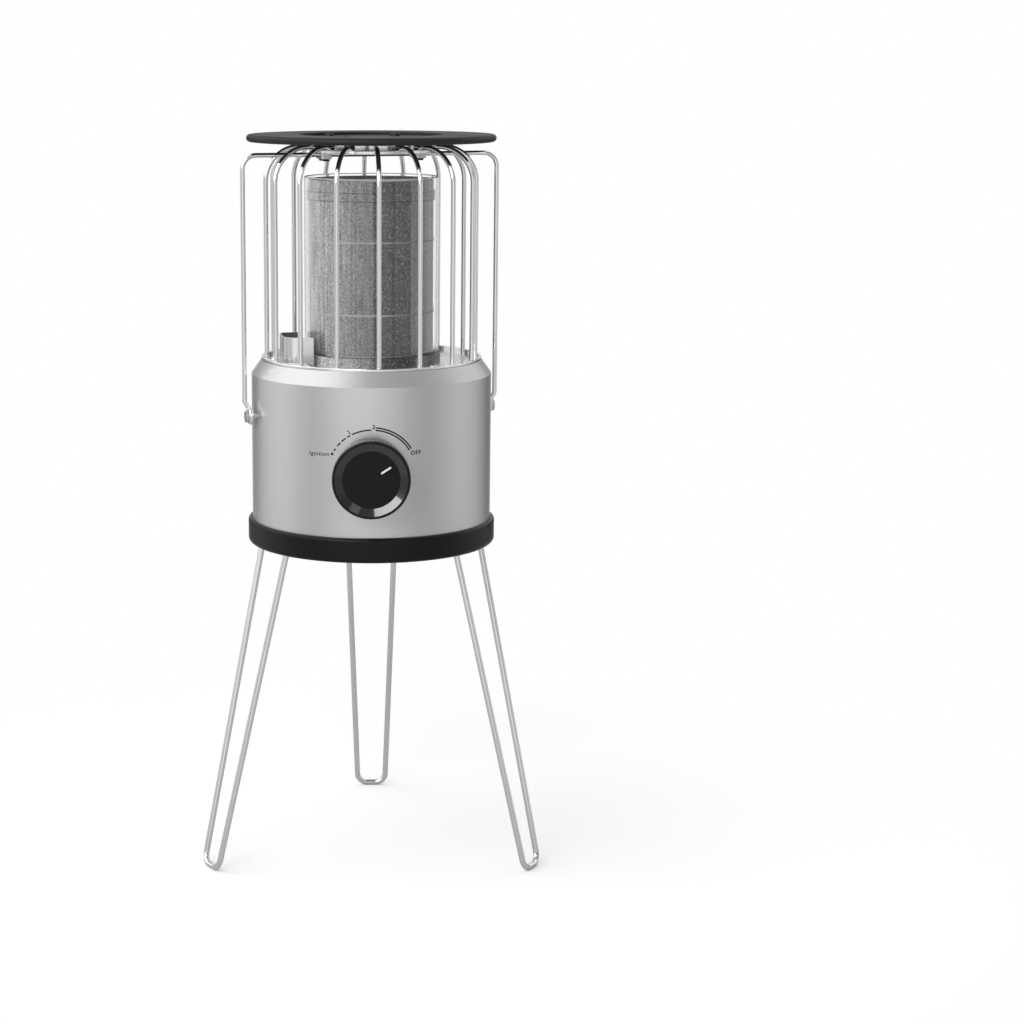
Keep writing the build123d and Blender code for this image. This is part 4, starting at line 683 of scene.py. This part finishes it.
def foldWall(low, high, sheet):
    bm = bmesh.new()
    frontBend = (hood["out"] - hood["corner"], hood["front"] - hood["corner"])
    backBend = (hood["out"] - hood["backCorner"], hood["back"] + hood["backCorner"])
    ends = [addVert(bm, (hood["frontEnd"], hood["front"], level)) for level in (low, high)]
    strip = ends + [bm.edges.new(ends)]
    strip = slideEdge(bm, strip, (frontBend[0] - hood["frontEnd"], 0, 0))
    strip = bendEdge(bm, strip, frontBend)
    strip = slideEdge(bm, strip, (0, backBend[1] - frontBend[1], 0))
    strip = bendEdge(bm, strip, backBend)
    slideEdge(bm, strip, (hood["backEnd"] - backBend[0], 0, 0))
    bmesh.ops.remove_doubles(bm, verts=bm.verts, dist=touching)
    bmesh.ops.recalc_face_normals(bm, faces=bm.faces)
    middle = Vector((hood["frontEnd"], (hood["front"] + hood["back"]) / 2, 0))
    if sum(face.normal.dot(face.calc_center_median() - middle) for face in bm.faces) < 0:
        bmesh.ops.reverse_faces(bm, faces=bm.faces)
    for vert in bm.verts:
        vert.normal_update()
    for vert in bm.verts:  # centred on the fold line before it gets its thickness
        vert.co += vert.normal * sheet / 2
    bmesh.ops.solidify(bm, geom=bm.faces[:], thickness=sheet)
    roundEdges(bm, hood["soften"], hood["softenSegments"])
    return bm


low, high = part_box("igniter_shield")
bm = foldWall(low[2], high[2], hood["sheet"])
footMesh = asMesh(foldWall(low[2], low[2] + hood["foot"], hood["footSheet"]), "foot")
bm.from_mesh(footMesh)
bpy.data.meshes.remove(footMesh)
inside = bm.faces.layers.float.new("inside")
middle = Vector(((hood["frontEnd"] + hood["out"]) / 2, (hood["front"] + hood["back"]) / 2, 0))
for face in bm.faces:
    inwards = middle - face.calc_center_median()
    inwards.z = 0
    upright = abs(face.normal.z) < 0.5
    face[inside] = 1.0 if upright and face.normal.dot(inwards) > 0 else 0.0
bmesh.ops.rotate(bm, verts=bm.verts, matrix=Matrix.Rotation(math.radians(hood["azimuth"]), 3, "Z"))
igniterHood = makePiece(bm, "igniterHood", hoodSheet, "drum", crease=20)
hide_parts("igniter_shield")
print("hood folded")

# Pan-head screws with a cross recess, their heads in proportion to their shanks
panHead = {
    "wide": 1.8, "tall": 1.1, "steps": 24, "point": 0.0004,
    "profile": ((0.56, 1.0), (0.76, 0.97), (0.92, 0.8), (1.0, 0.45), (1.0, 0.0)),  # shares of wide and tall
    "sunk": 0.62, "recess": 0.5, "recessEdge": 0.6, "lobe": 0.62, "waist": 0.24, "lobeAngle": 16,
}


def turnScrew(shank, length):
    wide = shank * panHead["wide"]
    tall = shank * panHead["tall"]
    recess = tall * (1 - panHead["sunk"])
    profile = [(0, recess), (wide * panHead["recess"], recess)]
    profile += [(wide * across, tall * up) for across, up in panHead["profile"]]
    profile += [(shank, 0), (shank, panHead["point"] - length), (shank - panHead["point"], -length),
                (0, -length)]
    bm = bmesh.new()
    turnRound(bm, addOutline(bm, profile, closed=False), panHead["steps"])
    for vert in bm.verts:  # the two inner rings are drawn in to a cross
        reach = vert.co.xy.length
        if vert.co.z > 0 and touching < reach < wide * panHead["recessEdge"]:
            angle = math.degrees(math.atan2(vert.co.y, vert.co.x)) % 90
            onLobe = min(angle, 90 - angle) < panHead["lobeAngle"]
            vert.co.xy *= wide * (panHead["lobe"] if onLobe else panHead["waist"]) / reach
    bmesh.ops.recalc_face_normals(bm, faces=bm.faces)
    return asMesh(bm, "screw")


def seat(radius, azimuth, level, aside=0, turned=0, twist=0):  # a place by its angle round the drum
    return (Matrix.Rotation(math.radians(azimuth), 4, "Z") @ Matrix.Translation((radius, aside, level))
            @ Matrix.Rotation(math.radians(turned), 4, "X") @ Matrix.Rotation(math.radians(twist), 4, "Z"))


screwRows = {
    "deckScrews": {"node": "deck_screws", "finish": platedSteel, "sizes": (
        {"shank": 0.002, "length": 0.009, "places": [
            seat(0.064065, 45 + 90 * n, 0.376, twist=20 * n) for n in range(4)]},
    )},
    "guardScrews": {"node": "guard_screws", "finish": plateScrew, "sizes": (
        {"shank": 0.002, "length": 0.0046, "places": [
            seat(0.036, 60.45 + 90 * n, 0.54135, twist=35 * n) for n in range(4)]},
        {"shank": 0.0015, "length": 0.0123, "places": [
            seat(0.036, azimuth, 0.52595, aside, turned=180, twist=aside * 3000)
            for azimuth in (15.45, 195.45) for aside in (-0.0053, 0.0053)]},
    )},
    "baseScrews": {"node": "base_screws", "finish": platedSteel, "sizes": (
        {"shank": 0.002, "length": 0.009, "places": [
            seat(0.07946, azimuth, 0.239, aside, turned=180, twist=aside * 5000)
            for azimuth in (210, 330, 90) for aside in (-0.008, 0.008)]},
    )},
}
for name, row in screwRows.items():
    bm = bmesh.new()
    for size in row["sizes"]:
        addCopies(bm, turnScrew(size["shank"], size["length"]), size["places"])
    screws = makePiece(bm, name, row["finish"], "drum", crease=30)
    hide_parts(row["node"])
print("screws driven")

# Gas inlet with a cut thread; points are radius and distance behind the axis
inlet = {
    "level": 0.2872, "sides": 64,
    "profile": ((0.0031, 0.078954), (0.0055, 0.078954), (0.0055, 0.083954), (0.0115, 0.083954),
                (0.0115, 0.087954), (0.008, 0.087954), (0.008, 0.0949), (0.00588, 0.0949),
                (0.00588, 0.1054), (0.0054, 0.1059), (0.003, 0.1059), (0.003, 0.081954), (0.0031, 0.081954)),
    "root": 0.00568, "crest": 0.00655, "pitch": 0.001337, "halfWidth": 0.42, "start": 0.0960, "end": 0.1052,
    "stepsPerTurn": 24,
}
bm = bmesh.new()
turnRound(bm, addOutline(bm, inlet["profile"]), inlet["sides"])
threadLength = inlet["end"] - inlet["start"]
turns = threadLength / inlet["pitch"]
halfRidge = inlet["pitch"] * inlet["halfWidth"]
ridge = addOutline(bm, [(inlet["root"], inlet["start"] - halfRidge), (inlet["crest"], inlet["start"]),
                        (inlet["root"], inlet["start"] + halfRidge)])
windRound(bm, ridge, turns, round(turns * inlet["stepsPerTurn"]), threadLength)
tipOver(bm, -math.pi / 2, (0, 0, inlet["level"]))
threadedInlet = makePiece(bm, "threadedInlet", machinedBrass, "drum", crease=30)
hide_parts("gas_inlet_fitting")
print("inlet threaded")

# Return spring behind the knob, wound at its rest length; the real one closes up as the knob goes in
spring = {
    "wire": 0.0003, "wireSides": 10, "radius": 0.0053, "turns": 3, "stepsPerTurn": 24, "start": -0.07209,
    "length": 0.0053, "level": 0.3027,
    "seat": -0.07169, "end": -0.07769, "travel": 0.0035,  # what it stands on, its end, and the knob's push
}
bm = bmesh.new()
ring = bmesh.ops.create_circle(bm, cap_ends=False, radius=spring["wire"],
                               segments=spring["wireSides"])["verts"]
bmesh.ops.rotate(bm, verts=ring, matrix=Matrix.Rotation(math.pi / 2, 3, "X"))
bmesh.ops.translate(bm, verts=ring, vec=(spring["radius"], 0, 0))
windRound(bm, ring + bm.edges[:], spring["turns"], spring["turns"] * spring["stepsPerTurn"], spring["length"])
tipOver(bm, math.pi / 2, (0, spring["start"], spring["level"]))
returnSpring = makePiece(bm, "returnSpring", springSteel, "drum", crease=60)
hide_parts("stem_spring")
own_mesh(returnSpring)
print("spring wound")

# Spot welds down the edges of the mesh's lap
welds = {"radius": 0.0005, "proud": 0.00018, "shoulder": (0.6, 0.8), "sunk": 0.0002, "sides": 10,
         "reach": 0.0462, "low": 0.383, "high": 0.494, "step": 0.0092, "azimuths": (0, 23.8)}
bm = bmesh.new()
dome = addOutline(bm, [(0, welds["proud"]),
                       (welds["radius"] * welds["shoulder"][0], welds["proud"] * welds["shoulder"][1]),
                       (welds["radius"], -welds["sunk"]), (0, -welds["sunk"])], closed=False)
turnRound(bm, dome, welds["sides"])
bmesh.ops.recalc_face_normals(bm, faces=bm.faces)
weldMesh = asMesh(bm, "weld")
bm = bmesh.new()
rows = int((welds["high"] - welds["low"]) / welds["step"]) + 1
addCopies(bm, weldMesh, [Matrix.Rotation(math.radians(azimuth), 4, "Z")
                         @ Matrix.Translation((0, -welds["reach"], welds["low"] + welds["step"] * row))
                         @ Matrix.Rotation(math.pi / 2, 4, "X")
                         for azimuth in welds["azimuths"] for row in range(rows)])
makePiece(bm, "meshWelds", springSteel, "drum")
print("mesh welded")
